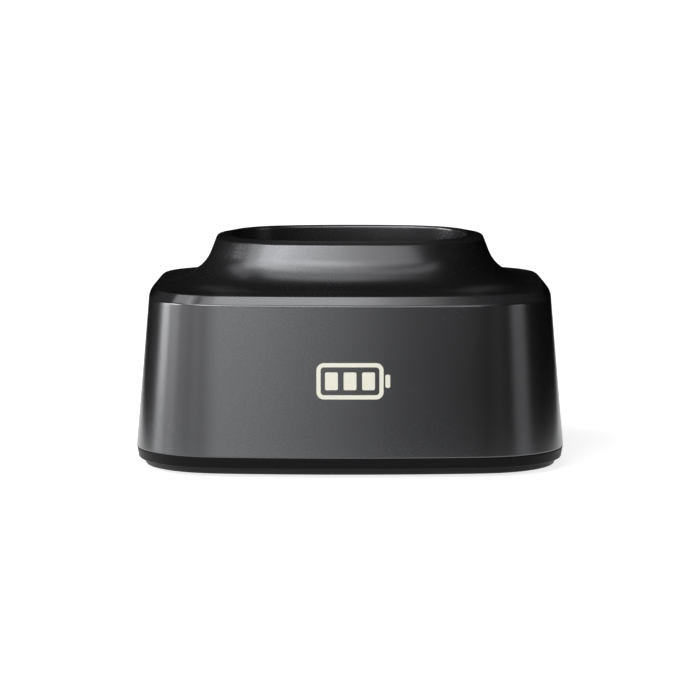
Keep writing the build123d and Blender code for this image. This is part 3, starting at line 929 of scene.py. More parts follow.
@dataclass(frozen=True)
class SolderMask(Finish):
    """A circuit board: solder mask over glass weave, with tracks just seen under it and a bare edge."""

    def mix(self) -> bpy.types.Material:
        """Makes the material.

        Returns:
            The finished material.
        """
        recipe = Recipe(self.name)
        x, y, _ = recipe.axes()
        weave = (x * 9.0).wave() * (y * 9.0).wave()
        flat = recipe.node("ShaderNodeMapping", inputs={"Vector": recipe.place(), "Scale": (1.0, 1.0, 0.0)})
        route = recipe.node("ShaderNodeTexVoronoi", {"distance": "CHEBYCHEV"},
                            {"Vector": flat, "Scale": 1 / (6.5 * MM), "Randomness": 0.85}, output="Distance")
        lane = (route * 7.0).fraction()
        track = lane.ramp(0.3, 0.36) * (1 - lane.ramp(0.64, 0.7)) * route.ramp(0.1, 0.12)
        hole = recipe.node("ShaderNodeTexVoronoi", inputs={
            "Vector": flat, "Scale": 1 / (4.1 * MM), "Randomness": 1.0}, output="Distance")
        ring = (1 - hole.ramp(0.07, 0.08)) * hole.ramp(0.03, 0.04)
        mask = recipe.blend(track, self.colour, self.shade(1.8))
        tone = recipe.blend(ring, mask, (0.62, 0.60, 0.55))
        return recipe.surface(Base_Color=tone, Roughness=self.roughness + weave * 0.04, Metallic=ring * 0.9,
                              Coat_Weight=(1 - ring) * 0.4, Coat_Roughness=0.2,
                              Normal=recipe.bump(weave * 0.08 + track * 0.7 + ring, 0.02))


@dataclass(frozen=True)
class SinteredCore(Finish):
    """Ferrite or resin: dull, slightly porous, chipped paler along its grain."""

    def mix(self) -> bpy.types.Material:
        """Makes the material.

        Returns:
            The finished material.
        """
        recipe = Recipe(self.name)
        pores = recipe.cells(0.22)
        chips = recipe.noise(0.7, 5.0).ramp(0.62, 0.74)
        tone = recipe.blend(chips, self.colour, self.shade(1.9))
        return recipe.surface(Base_Color=tone, Roughness=self.roughness + chips * 0.15,
                              Normal=recipe.bump(pores, 0.012))


@dataclass(frozen=True)
class CanSleeve(Finish):
    """A printed sleeve shrunk over a metal can, whose bare top shows."""

    top: float = 0.0
    radius: float = 0.0
    x: float = 0.0
    y: float = 0.0

    def mix(self) -> bpy.types.Material:
        """Makes the material.

        Returns:
            The finished material.
        """
        recipe = Recipe(self.name)
        x, y, z = recipe.axes()
        across, along = x - self.x, y - self.y
        reach = (across * across + along * along).power(0.5)
        bare = z.over(self.top - 0.25) * (1 - reach.over(self.radius))
        stripe = (1 - (across - 1.4).over(0.9)) * (across - 1.4).over(-0.9) * along.over(0.0) * (1 - bare)
        brush = recipe.noise(0.15, 3.0, (1.0, 0.1, 1.0))
        score = recipe.line(across, 0.3).larger(recipe.line(along, 0.3)) * bare * (1 - reach.over(1.9))
        sleeve = recipe.blend(stripe, self.colour, (0.42, 0.44, 0.46))
        tone = recipe.blend(bare, sleeve, (0.78, 0.79, 0.8))
        return recipe.surface(Base_Color=tone, Metallic=bare, Roughness=self.roughness + bare * (brush - 0.5) * 0.2,
                              Normal=recipe.bump(brush * 0.02 - score, 0.06))


@dataclass(frozen=True)
class WoundCore(Finish):
    """A ferrite drum whose waist is wound with enamelled copper wire."""

    low: float = 0.0
    high: float = 0.0
    pitch: float = 0.42

    def mix(self) -> bpy.types.Material:
        """Makes the material.

        Returns:
            The finished material.
        """
        recipe = Recipe(self.name)
        _, _, z = recipe.axes()
        wound = z.over(self.low) * (1 - z.over(self.high))
        turns = ((z - self.low) * (2 * math.pi / self.pitch)).wave()
        pores = recipe.cells(0.22)
        sheen = recipe.noise(1.1, 3.0)
        core = recipe.blend(sheen.ramp(0.6, 0.75), self.colour, self.shade(1.9))
        wire = recipe.blend(sheen, (0.50, 0.20, 0.075), (0.66, 0.29, 0.12))
        tone = recipe.blend(wound, core, recipe.blend(turns * 0.35 + 0.5, (0.16, 0.05, 0.02), wire))
        height = wound * turns * -0.5 + (1 - wound) * pores * 0.1
        return recipe.surface(Base_Color=tone, Metallic=wound * 0.85, Roughness=self.roughness - wound * 0.34,
                              Normal=recipe.bump(height, 0.1))


@dataclass(frozen=True)
class WireJacket(Finish):
    """Extruded insulation: soft gloss with faint lengthwise flow lines."""

    def mix(self) -> bpy.types.Material:
        """Makes the material.

        Returns:
            The finished material.
        """
        recipe = Recipe(self.name)
        flow = recipe.noise(0.25, 2.0, (1.0, 0.12, 1.0))
        tone = recipe.blend(flow, self.shade(0.92), self.shade(1.08))
        return recipe.surface(Base_Color=tone, Roughness=self.roughness + (flow - 0.5) * 0.1,
                              Normal=recipe.bump(flow, 0.003))


class Finishes(Enum):
    """Every finish on the stand."""

    # The shell's edges and bands are painted paler: partly rubbing wear, partly a painted highlight.
    SHELL = MouldedPlastic("satin_black_shell", "shell", (0.0080, 0.0080, 0.0085), 0.27, specular=1.0,
                           rubbed_and_sheen=3.0, banded=True)
    CUP = MouldedPlastic("black_cup", "liner", (0.0095, 0.0095, 0.0100), 0.40, specular=0.8)
    TRAY = MouldedPlastic("black_tray", "tray", (0.0050, 0.0050, 0.0054), 0.45, specular=0.06)
    COVER = MouldedPlastic("black_cover", "cover", (0.0170, 0.0170, 0.0178), 0.45, Grain.COARSE, 0.006,
                           specular=0.15)
    BLOCK = MouldedPlastic("contact_block_plastic", "block_plastic", (0.030, 0.030, 0.032), 0.5)
    JACK = MouldedPlastic("jack_black", "jack_plastic", (0.012, 0.012, 0.013), 0.35, Grain.FINE, 0.0008)
    NYLON = MouldedPlastic("natural_nylon", "nylon", (0.74, 0.71, 0.62), 0.45, Grain.FINE, 0.001, 0.03)
    INK = PadPrint("cream_ink", "shell", (0.84, 0.82, 0.70), 0.55)
    RUBBER = MouldedRubber("sole_rubber", "foot_rubber", (0.030, 0.030, 0.031), 0.8)
    STEEL = BareMetal("zinc_plated_steel", "steel", (0.56, 0.57, 0.58), 0.34)
    SCREW = BareMetal("plated_screw", "screw_steel", (0.62, 0.62, 0.60), 0.28, (0.05, 1.0, 1.0), 0.1)
    NICKEL = BareMetal("bright_nickel", "nickel", (0.70, 0.67, 0.62), 0.18, (1.0, 0.05, 1.0), 0.05)
    GOLD = BareMetal("plated_gold", "gold_plate", (0.86, 0.62, 0.27), 0.2, (0.05, 0.05, 1.0), 0.06)
    SPRING = BareMetal("spring_wire", "spring_steel", (0.60, 0.60, 0.59), 0.25, (1.0, 1.0, 1.0), 0.08)
    BRASS = BareMetal("rolled_brass", "brass_strip", (0.76, 0.56, 0.26), 0.3, (1.0, 0.05, 1.0), 0.14)
    BOARD = SolderMask("solder_mask", "board_laminate", (0.010, 0.085, 0.030), 0.42)
    CHIP = SinteredCore("black_resin", "chip_resin", (0.022, 0.022, 0.024), 0.55)
    FUSE = SinteredCore("yellow_resin", "fuse_resin", (0.33, 0.25, 0.05), 0.5)
    FERRITE = WoundCore("wound_ferrite", "ferrite", (0.045, 0.043, 0.042), 0.62, 13.02, 16.78)
    CAN = CanSleeve("sleeved_can", "capacitor_can", (0.012, 0.014, 0.03), 0.32, 23.1, 2.75, 18.0, 26.51)
    BLACK_WIRE = WireJacket("black_wire", "lead_black", (0.015, 0.015, 0.016), 0.42)
    RED_WIRE = WireJacket("red_wire", "lead_red", (0.48, 0.022, 0.018), 0.4)


def dress(piece: bpy.types.Object, finish: Finishes, body: str = "base", *nodes: str) -> bpy.types.Object:
    """Gives a new piece its finish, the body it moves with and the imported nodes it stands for.

    Args:
        piece: The piece.
        finish: Its finish.
        body: The body that carries it.
        nodes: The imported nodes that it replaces, if any.

    Returns:
        The same piece.
    """
    piece.data.materials.clear()
    piece.data.materials.append(finish.value.material())
    if nodes:
        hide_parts(*nodes)
    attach(piece, body)
    LOG.info("%s: %s, %d faces, rides on %s", piece.name, finish.value.name, len(piece.data.polygons), body)
    return piece


def carry(node: str, finish: Finishes) -> None:
    """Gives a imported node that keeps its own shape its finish.

    Args:
        node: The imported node.
        finish: Its finish.
    """
    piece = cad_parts[node]
    if not piece.material_slots:
        piece.data.materials.append(None)
    for place in piece.material_slots:
        place.material = finish.value.material()
    LOG.info("%s: %s, as packed", node, finish.value.name)


# The stand


def four(x: float, y: float) -> Places:
    """The four places at plus and minus x and y."""
    return tuple((sx * x, sy * y) for sx in (-1, 1) for sy in (-1, 1))


# Where the screws stand, and the posts that they go into.
HOUSING_PLACES = four(36.0, 26.0)
CUP_PLACES = four(34.0, 9.0)
COVER_PLACES = four(40.0, 10.0)
BALLAST_PLACES = ((-24.0, -18.0), (24.0, -18.0))
# A screw head's rim as angles of a quarter of an ellipse.
HEAD_ANGLES = (0, 20, 40, 60, 75, 90)


@dataclass(frozen=True)
class Screws:
    """A set of equal cross-slotted pan-head screws with a rolled thread, all put in from the same side."""

    node: str
    head_radius: float
    head_height: float
    shank_radius: float
    length: float
    seat: float
    places: Places
    from_above: bool = False
    pitch: float = 0.6
    slot_reach: float = 0.62
    slot_half: float = 0.26

    def head(self) -> Surface:
        """The head under its seat: a low dome whose rim is a quarter of an ellipse.

        Returns:
            The head's closed skin.
        """
        radius, height = self.head_radius, self.head_height
        rise = min(0.6 * height, 0.45)
        rim = [(radius * (0.72 + 0.28 * math.sin(turn)), -height + rise * (1 - math.cos(turn)))
               for turn in map(math.radians, HEAD_ANGLES)]
        return lathe([*rim, (radius, -0.06), (radius - 0.06, 0.0)], columns=48)

    def thread(self) -> Surface:
        """The shank, whose radius is a triangle wave of height over pitch less the share of a turn.

        The wave winds one ridge round the shank. It fades out under the head and at the tip, where the shank narrows
        to a blunt cone.

        Returns:
            The shank's closed skin.
        """
        rows, columns = max(24, round(self.length / self.pitch * 8)), 28
        height = np.linspace(-0.03, self.length, rows)[:, None]
        around = np.arange(columns)[None, :] / columns
        wave = 1 - np.abs(2 * ((height / self.pitch - around) % 1.0) - 1)
        fade = np.clip(height / 0.5, 0, 1) * np.clip((self.length - height) / 0.9, 0, 1)
        cone = 1 - 0.4 * np.clip(1 - (self.length - height) / 0.8, 0, 1)
        radius = self.shank_radius * (0.78 + 0.22 * wave * fade) * cone
        angle = around * 2 * math.pi
        points = np.stack([radius * np.cos(angle), radius * np.sin(angle), height + 0 * angle], axis=2)
        return Surface(points, np.zeros(rows), first_cap=True, last_cap=True)

    def build(self) -> None:
        """Makes one screw, cuts its cross slot and sets a copy at every place."""
        head = mesh_object("screw_head", [self.head()], 35.0)
        reach, half = self.head_radius * self.slot_reach, self.slot_half
        depth = soft_rows(-self.head_height - 0.3, -self.head_height + 0.55, 0.04)
        carve(head, [mesh_object("slot", [stacked_box(*size, depth, corner=0.06)])
                     for size in ((reach, half), (half, reach))])
        places = [(x, y, self.seat) for x, y in self.places]
        dress(repeated(head, f"{self.node}_heads", places, self.from_above), Finishes.SCREW, "base", self.node)
        shank = mesh_object("screw_shank", [self.thread()], 35.0)
        dress(repeated(shank, f"{self.node}_threads", places, self.from_above), Finishes.SCREW)


def softened(node: str, finish: Finishes, bevel: float) -> None:
    """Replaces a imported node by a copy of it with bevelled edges, and dresses that."""
    dress(merged_copy(node, f"{node}_piece", bevel=bevel), finish, "base", node)


@dataclass(frozen=True)
class Body:
    """The outline that every outer piece follows, and the levels where it changes, in millimetres."""

    widest: Plan = Plan(50.0, 41.0, 20.5, 320.0, 285.0)
    rim: Plan = Plan(31.35, 24.9, 18.4, 90.0, 90.0)
    deck_run: float = 4.75
    face_taper: float = 3.0
    cover_bottom: float = 0.8
    band_bottom: float = 2.3
    tray_floor_top: float = 4.3
    face_bottom: float = 4.75
    chamfer_bottom: float = 39.15
    deck: float = 41.25
    rim_level: float = 51.85
    lip_level: float = 52.5
    skirt_bottom: float = 40.5
    columns: int = 512

    def rim_run(self) -> float:
        """How far the rim stands in from the widest outline."""
        return self.widest.half_x - self.rim.half_x

    def plans(self) -> PlanMap:
        """The outline at each distance in from the widest one.

        Returns:
            The widest outline, the deck's, the rim's, and one well inside the rim.
        """
        inside = 12.0
        return PlanMap(((0.0, self.widest), (self.deck_run, self.widest.inset(self.deck_run)),
                        (self.rim_run(), self.rim), (self.rim_run() + inside, self.rim.inset(inside))))

    def floor_plans(self) -> PlanMap:
        """Outlines all parallel to the widest one, for flat plates.

        Returns:
            The widest outline and one well inside it.
        """
        inside = 20.0
        return PlanMap(((0.0, self.widest), (inside, self.widest.inset(inside))))

    def face_y(self, x: np.ndarray, z: np.ndarray) -> np.ndarray:
        """The front face's y at an x and a height: the front bow's circle, carried in by the face's taper.

        Args:
            x: The places along X.
            z: Their heights.

        Returns:
            Their y.
        """
        run = self.face_taper * (z - self.face_bottom) / (self.chamfer_bottom - self.face_bottom)
        bow = self.widest.bow_y - run
        return -(self.widest.half_y - self.widest.bow_y + np.sqrt(bow**2 - x**2))


@dataclass
class Housing:
    """The upper housing: one moulded shell from the bottom edge up the face, over the collar and down the mouth."""

    body: Body
    wall: float = 2.2
    collar_centre: tuple[float, float] = (6.75, 52.627)
    collar_radius: float = 11.377
    collar_slope: float = 69.0
    void_slope: float = 60.0
    mouth_run: float = 22.8
    crest_run: float = 21.9
    skirt_run: float = 21.0
    edge: float = 0.25
    shoulder: float = 0.8
    deck_edge: float = 0.5
    rim_edge: float = 0.45
    mouth_edge: float = 0.65
    posts: tuple[Posts, ...] = (Posts(1.32, 3.2, 9.3, 40.4, HOUSING_PLACES), Posts(1.12, 3.0, 35.15, 42.8, CUP_PLACES))
    jack_radius: float = 4.65
    jack_level: float = 18.6
    jack_wall: tuple[float, float] = (33.0, 44.0)
    polish_margin: float = 0.05

    def profile(self) -> list[Corner]:
        """The shell's section: up the outside, over the lip, down the mouth and back along the inside.

        Returns:
            The section's corners.
        """
        body, centre = self.body, self.collar_centre
        outside = [Corner(0.0, body.face_bottom, self.edge),
                   Corner(body.face_taper, body.chamfer_bottom, self.shoulder),
                   Corner(body.deck_run, body.deck, self.deck_edge)]
        collar = arc_corners(centre, self.collar_radius, 0.0, self.collar_slope, 26)
        lip = [Corner(body.rim_run(), body.rim_level, self.rim_edge),
               Corner(self.crest_run, body.lip_level, 1.2),
               Corner(self.mouth_run, body.lip_level, self.mouth_edge),
               Corner(self.mouth_run, body.skirt_bottom, 0.15)]
        void = arc_corners(centre, self.collar_radius + self.wall, self.void_slope, 0.0, 16)
        inside = [Corner(self.skirt_run, body.skirt_bottom), Corner(self.skirt_run, void[0].height), *void,
                  Corner(5.78, body.deck - self.wall), Corner(5.13, 38.27), Corner(self.wall, body.face_bottom)]
        return outside + collar + lip + inside

    def build(self) -> None:
        """Builds the shell with its screw bosses and the hole for the power inlet."""
        points, edge = rounded_profile(self.profile(), closed=True)
        # Mark 2 gives the band under the deck and the lip's flat a clear coat and a paler tone, a painted highlight.
        edge[self.polished(points)] = 2.0
        shell = swept_plans(points, edge, self.body.plans(), self.body.columns, closed=True)
        piece = mesh_object("housing_shell", [shell])
        carve(piece, [self.jack_hole()])
        smooth_by_angle(piece, 40.0)
        dress(piece, Finishes.SHELL, "base", "upper_housing")
        bosses = [skin for posts in self.posts for skin in posts.skins()]
        dress(mesh_object("housing_bosses", bosses), Finishes.SHELL)

    def polished(self, points: np.ndarray) -> np.ndarray:
        """Which of the section's points lie on the sloped band under the deck or on the flat of the lip.

        These get a clear coat and the finish's full paler tone, which is a painted highlight.

        Args:
            points: The points of run and height.

        Returns:
            True for each that does.
        """
        run, height = points[:, 0], points[:, 1]
        outer, inner = self.body.face_taper + self.polish_margin, self.body.deck_run - self.polish_margin
        band = (run > outer) & (run < inner) & (height > self.body.chamfer_bottom + 0.25)
        lip = height > self.body.lip_level - 0.12
        return band | lip

    def jack_hole(self) -> bpy.types.Object:
        """A cylinder through the back wall."""
        rod = lathe([(self.jack_radius, y) for y in self.jack_wall], columns=72)
        return mesh_object("jack_hole", [laid(rod, 0.0, self.jack_level)])


@dataclass
class Pictogram:
    """A plain battery sign printed on the middle of the front: a rounded frame, a terminal nub and three bars."""

    body: Body
    level: float = 22.3
    width: float = 15.2
    height: float = 8.2
    line: float = 0.95
    corner: float = 1.7
    film: float = 0.03
    nub: tuple[float, float, float] = (0.55, 1.5, 0.4)
    nub_gap: float = 0.95
    bar_half: float = 1.45
    bar_gap: float = 2.1
    bar_corner: float = 0.35
    bar_pitch: float = 4.2
    columns: int = 160
    steps: int = 16

    def ring(self, half_x: float, half_z: float, corner: float, middle: float, film: float) -> np.ndarray:
        """A rounded rectangle on the front face, anticlockwise from outside, lifted by a film's thickness.

        The heading turns by a right angle over each corner's length and not at all along each side. Points lie at
        even shares of the length, where the outline is the running sum of unit steps along the heading.

        Args:
            half_x: Half of its width.
            half_z: Half of its height.
            corner: Its corners' radius.
            middle: The x of its middle.
            film: How far it stands out of the face.

        Returns:
            One row of x, y and z for each point.
        """
        bend = corner * math.pi / 2
        runs = np.array([half_z - corner, bend, 2 * (half_x - corner), bend, 2 * (half_z - corner), bend,
                         2 * (half_x - corner), bend, half_z - corner])
        turns = np.array([0, 1, 0, 1, 0, 1, 0, 1, 0]) * math.pi / 2
        fine = self.columns * self.steps
        ends = np.concatenate([[0.0], np.cumsum(runs)])
        step = ends[-1] / fine
        at = (np.arange(fine) + 0.5) * step
        heading = math.pi / 2 + np.interp(at, ends, np.concatenate([[0.0], np.cumsum(turns)]))
        x = middle + half_x + (np.cumsum(np.cos(heading)) * step)[::self.steps]
        z = self.level + (np.cumsum(np.sin(heading)) * step)[::self.steps]
        return np.stack([x, self.body.face_y(x, z) - film, z], axis=1)

    def frame(self) -> Surface:
        """The sign's outline, as a flat band.

        Returns:
            Its closed skin.
        """
        outer = (self.width / 2, self.height / 2, self.corner, 0.0)
        inner = (self.width / 2 - self.line, self.height / 2 - self.line, self.corner - self.line, 0.0)
        rows = [self.ring(*outer, -self.film), self.ring(*outer, self.film),
                self.ring(*inner, self.film), self.ring(*inner, -self.film)]
        return Surface(np.stack(rows), np.zeros(4), closed=True)

    def patch(self, half_x: float, half_z: float, corner: float, middle: float) -> Surface:
        """A filled rounded rectangle.

        Args:
            half_x: Half of its width.
            half_z: Half of its height.
            corner: Its corners' radius.
            middle: The x of its middle.

        Returns:
            Its closed skin.
        """
        rows = [self.ring(half_x, half_z, corner, middle, film) for film in (-self.film, self.film)]
        return Surface(np.stack(rows), np.zeros(2), first_cap=True, last_cap=True)

    def build(self) -> None:
        """Builds and prints the sign."""
        nub = self.patch(*self.nub, self.width / 2 + self.nub_gap)
        bars = [self.patch(self.bar_half, self.height / 2 - self.bar_gap, self.bar_corner, middle)
                for middle in (-self.bar_pitch, 0.0, self.bar_pitch)]
        dress(mesh_object("battery_sign", [self.frame(), nub, *bars]), Finishes.INK)


@dataclass
class Base:
    """The tray that closes the housing, the flat cover under it, the ballast plate, the feet and the screws."""

    body: Body
    ring_outer: float = 2.35
    ring_wall: float = 1.6
    ring_height: float = 4.0
    cover_run: float = 1.9
    foot_radius: float = 6.0
    foot_top: float = 1.5
    foot_place: tuple[float, float] = (34.0, 25.0)
    foot_play: float = 0.1
    head_recess: float = 2.1
    flat_run: float = 16.0
    board_posts: Places = ((-26.4, 14.11), (-26.4, 29.91), (26.4, 14.11), (26.4, 29.91))

    def tray(self) -> Surface:
        """The tray's skin, out along its bottom, up the band, in over the ledge, and over the standing ring.

        Returns:
            The closed skin.
        """
        body = self.body
        slope = body.face_taper / (body.chamfer_bottom - body.face_bottom) * self.ring_height
        inner = self.ring_outer + self.ring_wall
        top = body.face_bottom + self.ring_height
        corners = [Corner(self.flat_run, body.band_bottom), Corner(0.45, body.band_bottom, 0.2),
                   Corner(0.0, body.face_bottom, 0.2), Corner(self.ring_outer, body.face_bottom),
                   Corner(self.ring_outer + slope, top, 0.3), Corner(inner + slope, top, 0.3),
                   Corner(inner, body.tray_floor_top, 0.5), Corner(self.flat_run, body.tray_floor_top)]
        points, edge = rounded_profile(corners, closed=False)
        return swept_plans(points, edge, body.floor_plans(), body.columns, closed=False, caps=True)

    def cover(self) -> Surface:
        """The cover's skin, with a rounded lower edge.

        Returns:
            The closed skin.
        """
        body = self.body
        corners = [Corner(self.flat_run, body.cover_bottom), Corner(self.cover_run, body.cover_bottom, 0.35),
                   Corner(self.cover_run, body.band_bottom, 0.08), Corner(self.flat_run, body.band_bottom)]
        points, edge = rounded_profile(corners, closed=False)
        return swept_plans(points, edge, body.floor_plans(), body.columns, closed=False, caps=True)

    def foot(self, x: float, y: float) -> Surface:
        """One foot: a disc with a rolled edge, a shallow dish and a ring in its sole.

        Args:
            x: Its middle's x.
            y: Its middle's y.

        Returns:
            The closed skin.
        """
        radius = self.foot_radius
        profile = [(1.2, 0.25), (3.2, 0.25), (3.5, 0.0), (radius - 0.35, 0.0), (radius - 0.1, 0.1), (radius, 0.35),
                   (radius, self.foot_top), (1.2, self.foot_top)]
        return lathe(profile, x, y, 64)

    def posts(self) -> list[Surface]:
        """The posts on the tray's floor, for the housing, the cover, the board and the ballast.

        Returns:
            One skin for each.
        """
        floor = self.body.tray_floor_top
        sets = (Posts(1.6, 3.65, floor, 9.3, HOUSING_PLACES), Posts(0.92, 2.8, floor, 8.5, COVER_PLACES),
                Posts(1.12, 2.7, floor, 10.5, self.board_posts), Posts(1.12, 2.7, floor, 8.7, BALLAST_PLACES))
        return [skin for posts in sets for skin in posts.skins()]

    def recesses(self) -> list[bpy.types.Object]:
        """The cutters that go through the cover for the feet and the screw heads.

        Returns:
            One cylinder for each.
        """
        reach = self.foot_radius + self.foot_play
        feet = [lathe([(reach, -1.0), (reach, 1.5)], x, y, 64) for x, y in four(*self.foot_place)]
        heads = [lathe([(self.head_recess, -1.0), (self.head_recess, 1.7)], x, y, 40) for x, y in COVER_PLACES]
        return [mesh_object("recess", [skin]) for skin in (*feet, *heads)]

    def build(self) -> None:
        """Builds the tray, the cover with its recesses, and the feet."""
        dress(mesh_object("tray_shell", [self.tray(), *self.posts()]), Finishes.TRAY, "base", "base_tray")
        cover = mesh_object("cover_plate", [self.cover()])
        carve(cover, self.recesses())
        smooth_by_angle(cover, 40.0)
        dress(cover, Finishes.COVER, "base", "bottom_cover")
        x, y = self.foot_place
        for name, place in (("front_left", (-x, -y)), ("front_right", (x, -y)), ("rear_left", (-x, y)),
                            ("rear_right", (x, y))):
            foot = mesh_object(f"rubber_foot_{name}", [self.foot(*place)])
            dress(foot, Finishes.RUBBER, "base", f"foot_{name}")
        softened("ballast_plate", Finishes.STEEL, 0.4)
        Screws("ballast_screws", 4.4, 1.4, 1.1, 4.5, 8.8, BALLAST_PLACES, True).build()
        Screws("housing_screws", 2.7, 1.7, 1.3, 10.0, 7.3, HOUSING_PLACES).build()
        Screws("cover_screws", 1.8, 0.9, 0.9, 5.0, 1.7, COVER_PLACES).build()


@dataclass
class Contacts:
    """The cup and the pair of sprung pins under its floor, each with its coil spring, terminal and lead."""

    spacing: float = 12.0
    line_y: float = -8.0
    pin_radius: float = 1.2
    shoulder_radius: float = 1.6
    shoulder_bottom: float = 20.6
    shoulder_top: float = 21.8
    tip: float = 28.7
    dome: float = 0.9
    coil_radius: float = 1.25
    coil_turns: float = 8.0
    wire: float = 0.15
    spring_bottom: float = 13.5
    travel: float = 1.5
    strip_thickness: float = 0.4
    strip_width: float = 3.0
    block_screw_x: float = 14.0

    def pin(self, x: float) -> Surface:
        """One pin: a shoulder, a straight shank and a tip that is a dome's circle carried round the axis.

        Args:
            x: Its axis's x.

        Returns:
            The closed skin.
        """
        dome, shoulder = self.dome, self.shoulder_radius
        tip = [(self.pin_radius - dome + dome * math.cos(turn), self.tip - dome + dome * math.sin(turn))
               for turn in np.radians(np.linspace(0, 80, 9))]
        profile = [(shoulder - 0.15, self.shoulder_bottom), (shoulder, self.shoulder_bottom + 0.15),
                   (shoulder, self.shoulder_top - 0.1), (shoulder - 0.1, self.shoulder_top),
                   (self.pin_radius, self.shoulder_top), (self.pin_radius, self.shoulder_top + 0.1), *tip]
        return lathe(profile, x, self.line_y, 48)

    def spring(self, x: float) -> Surface:
        """One spring: a wire round a coil that closes up at both ends.

        The wire's middle turns at an even rate. It climbs by one wire a turn over the first and last turns, and by
        an even larger pitch between them. Each cross-section is a circle in the plane of the axis.

        Args:
            x: Its axis's x.

        Returns:
            The closed skin.
        """
        turns, rows, columns = self.coil_turns, 260, 10
        share = np.linspace(0, 1, rows)
        dead = 2 * self.wire * turns
        rise = self.shoulder_bottom - self.spring_bottom - 2 * self.wire
        free = rise - dead
        lift = np.clip((share * turns - 1) / (turns - 2), 0, 1)
        height = self.spring_bottom + self.wire + share * dead + lift * free
        angle = share * turns * 2 * math.pi
        around = np.arange(columns) / columns * 2 * math.pi
        radius = self.coil_radius + self.wire * np.cos(around)[None, :]
        points = np.stack([x + radius * np.cos(angle)[:, None], self.line_y + radius * np.sin(angle)[:, None],
                           height[:, None] - self.wire * np.sin(around)[None, :]], axis=2)
        return Surface(points, np.zeros(rows), first_cap=True, last_cap=True)

    def terminal(self, x: float) -> list[Surface]:
        """One terminal: a strip under the spring, a dished seat for it, and a barrel crimped round the lead.

        Args:
            x: Its middle's x.

        Returns:
            The skins of the strip, the seat and the barrel.
        """
        low, middle = self.spring_bottom - self.strip_thickness, self.spring_bottom - self.strip_thickness / 2
        plate = strip([(self.line_y - 1.4, middle), (self.line_y - 1.3, middle), (-2.0, middle), (-1.2, middle),
                       (-1.0, middle), (0.0, middle)], x, self.strip_width, self.strip_thickness)
        seat = lathe([(1.45, low + 0.02), (1.45, self.spring_bottom - 0.02), (0.95, self.spring_bottom + 0.12),
                      (0.8, self.spring_bottom + 0.12)], x, self.line_y, 32)
        barrel = laid(lathe([(0.66, -1.1), (0.78, -1.0), (0.78, -0.35), (0.68, -0.2), (0.68, 0.2), (0.78, 0.35),
                             (0.78, 0.95), (0.66, 1.05)], x, 0.0, 28), 0.0, middle)
        return [plate, seat, barrel]

    def build(self) -> None:
        """Builds the pins and springs, and dresses the cup, the block and the wiring."""
        for side in Side:
            name, x = side.name.lower(), side.value * self.spacing / 2
            dress(mesh_object(f"sprung_pin_{name}", [self.pin(x)]), Finishes.GOLD, f"contact_{name}",
                  f"contact_pin_{name}")
            coil = mesh_object(f"coil_spring_{name}", [self.spring(x)])
            dress(coil, Finishes.SPRING, "base", f"contact_spring_{name}")
            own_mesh(coil)
            dress(mesh_object(f"crimped_terminal_{name}", self.terminal(x)), Finishes.BRASS, "base",
                  f"contact_terminal_{name}")
        carry("contact_lead_left", Finishes.BLACK_WIRE)
        carry("contact_lead_right", Finishes.RED_WIRE)
        carry("well_liner", Finishes.CUP)
        for node in ("contact_block", "contact_retainer"):
            softened(node, Finishes.BLOCK, 0.18)
        places = ((-self.block_screw_x, self.line_y), (self.block_screw_x, self.line_y))
        Screws("block_screws", 1.9, 1.2, 0.9, 6.0, 14.5, places).build()
        Screws("liner_screws", 2.2, 1.4, 1.1, 5.0, 32.95, CUP_PLACES).build()


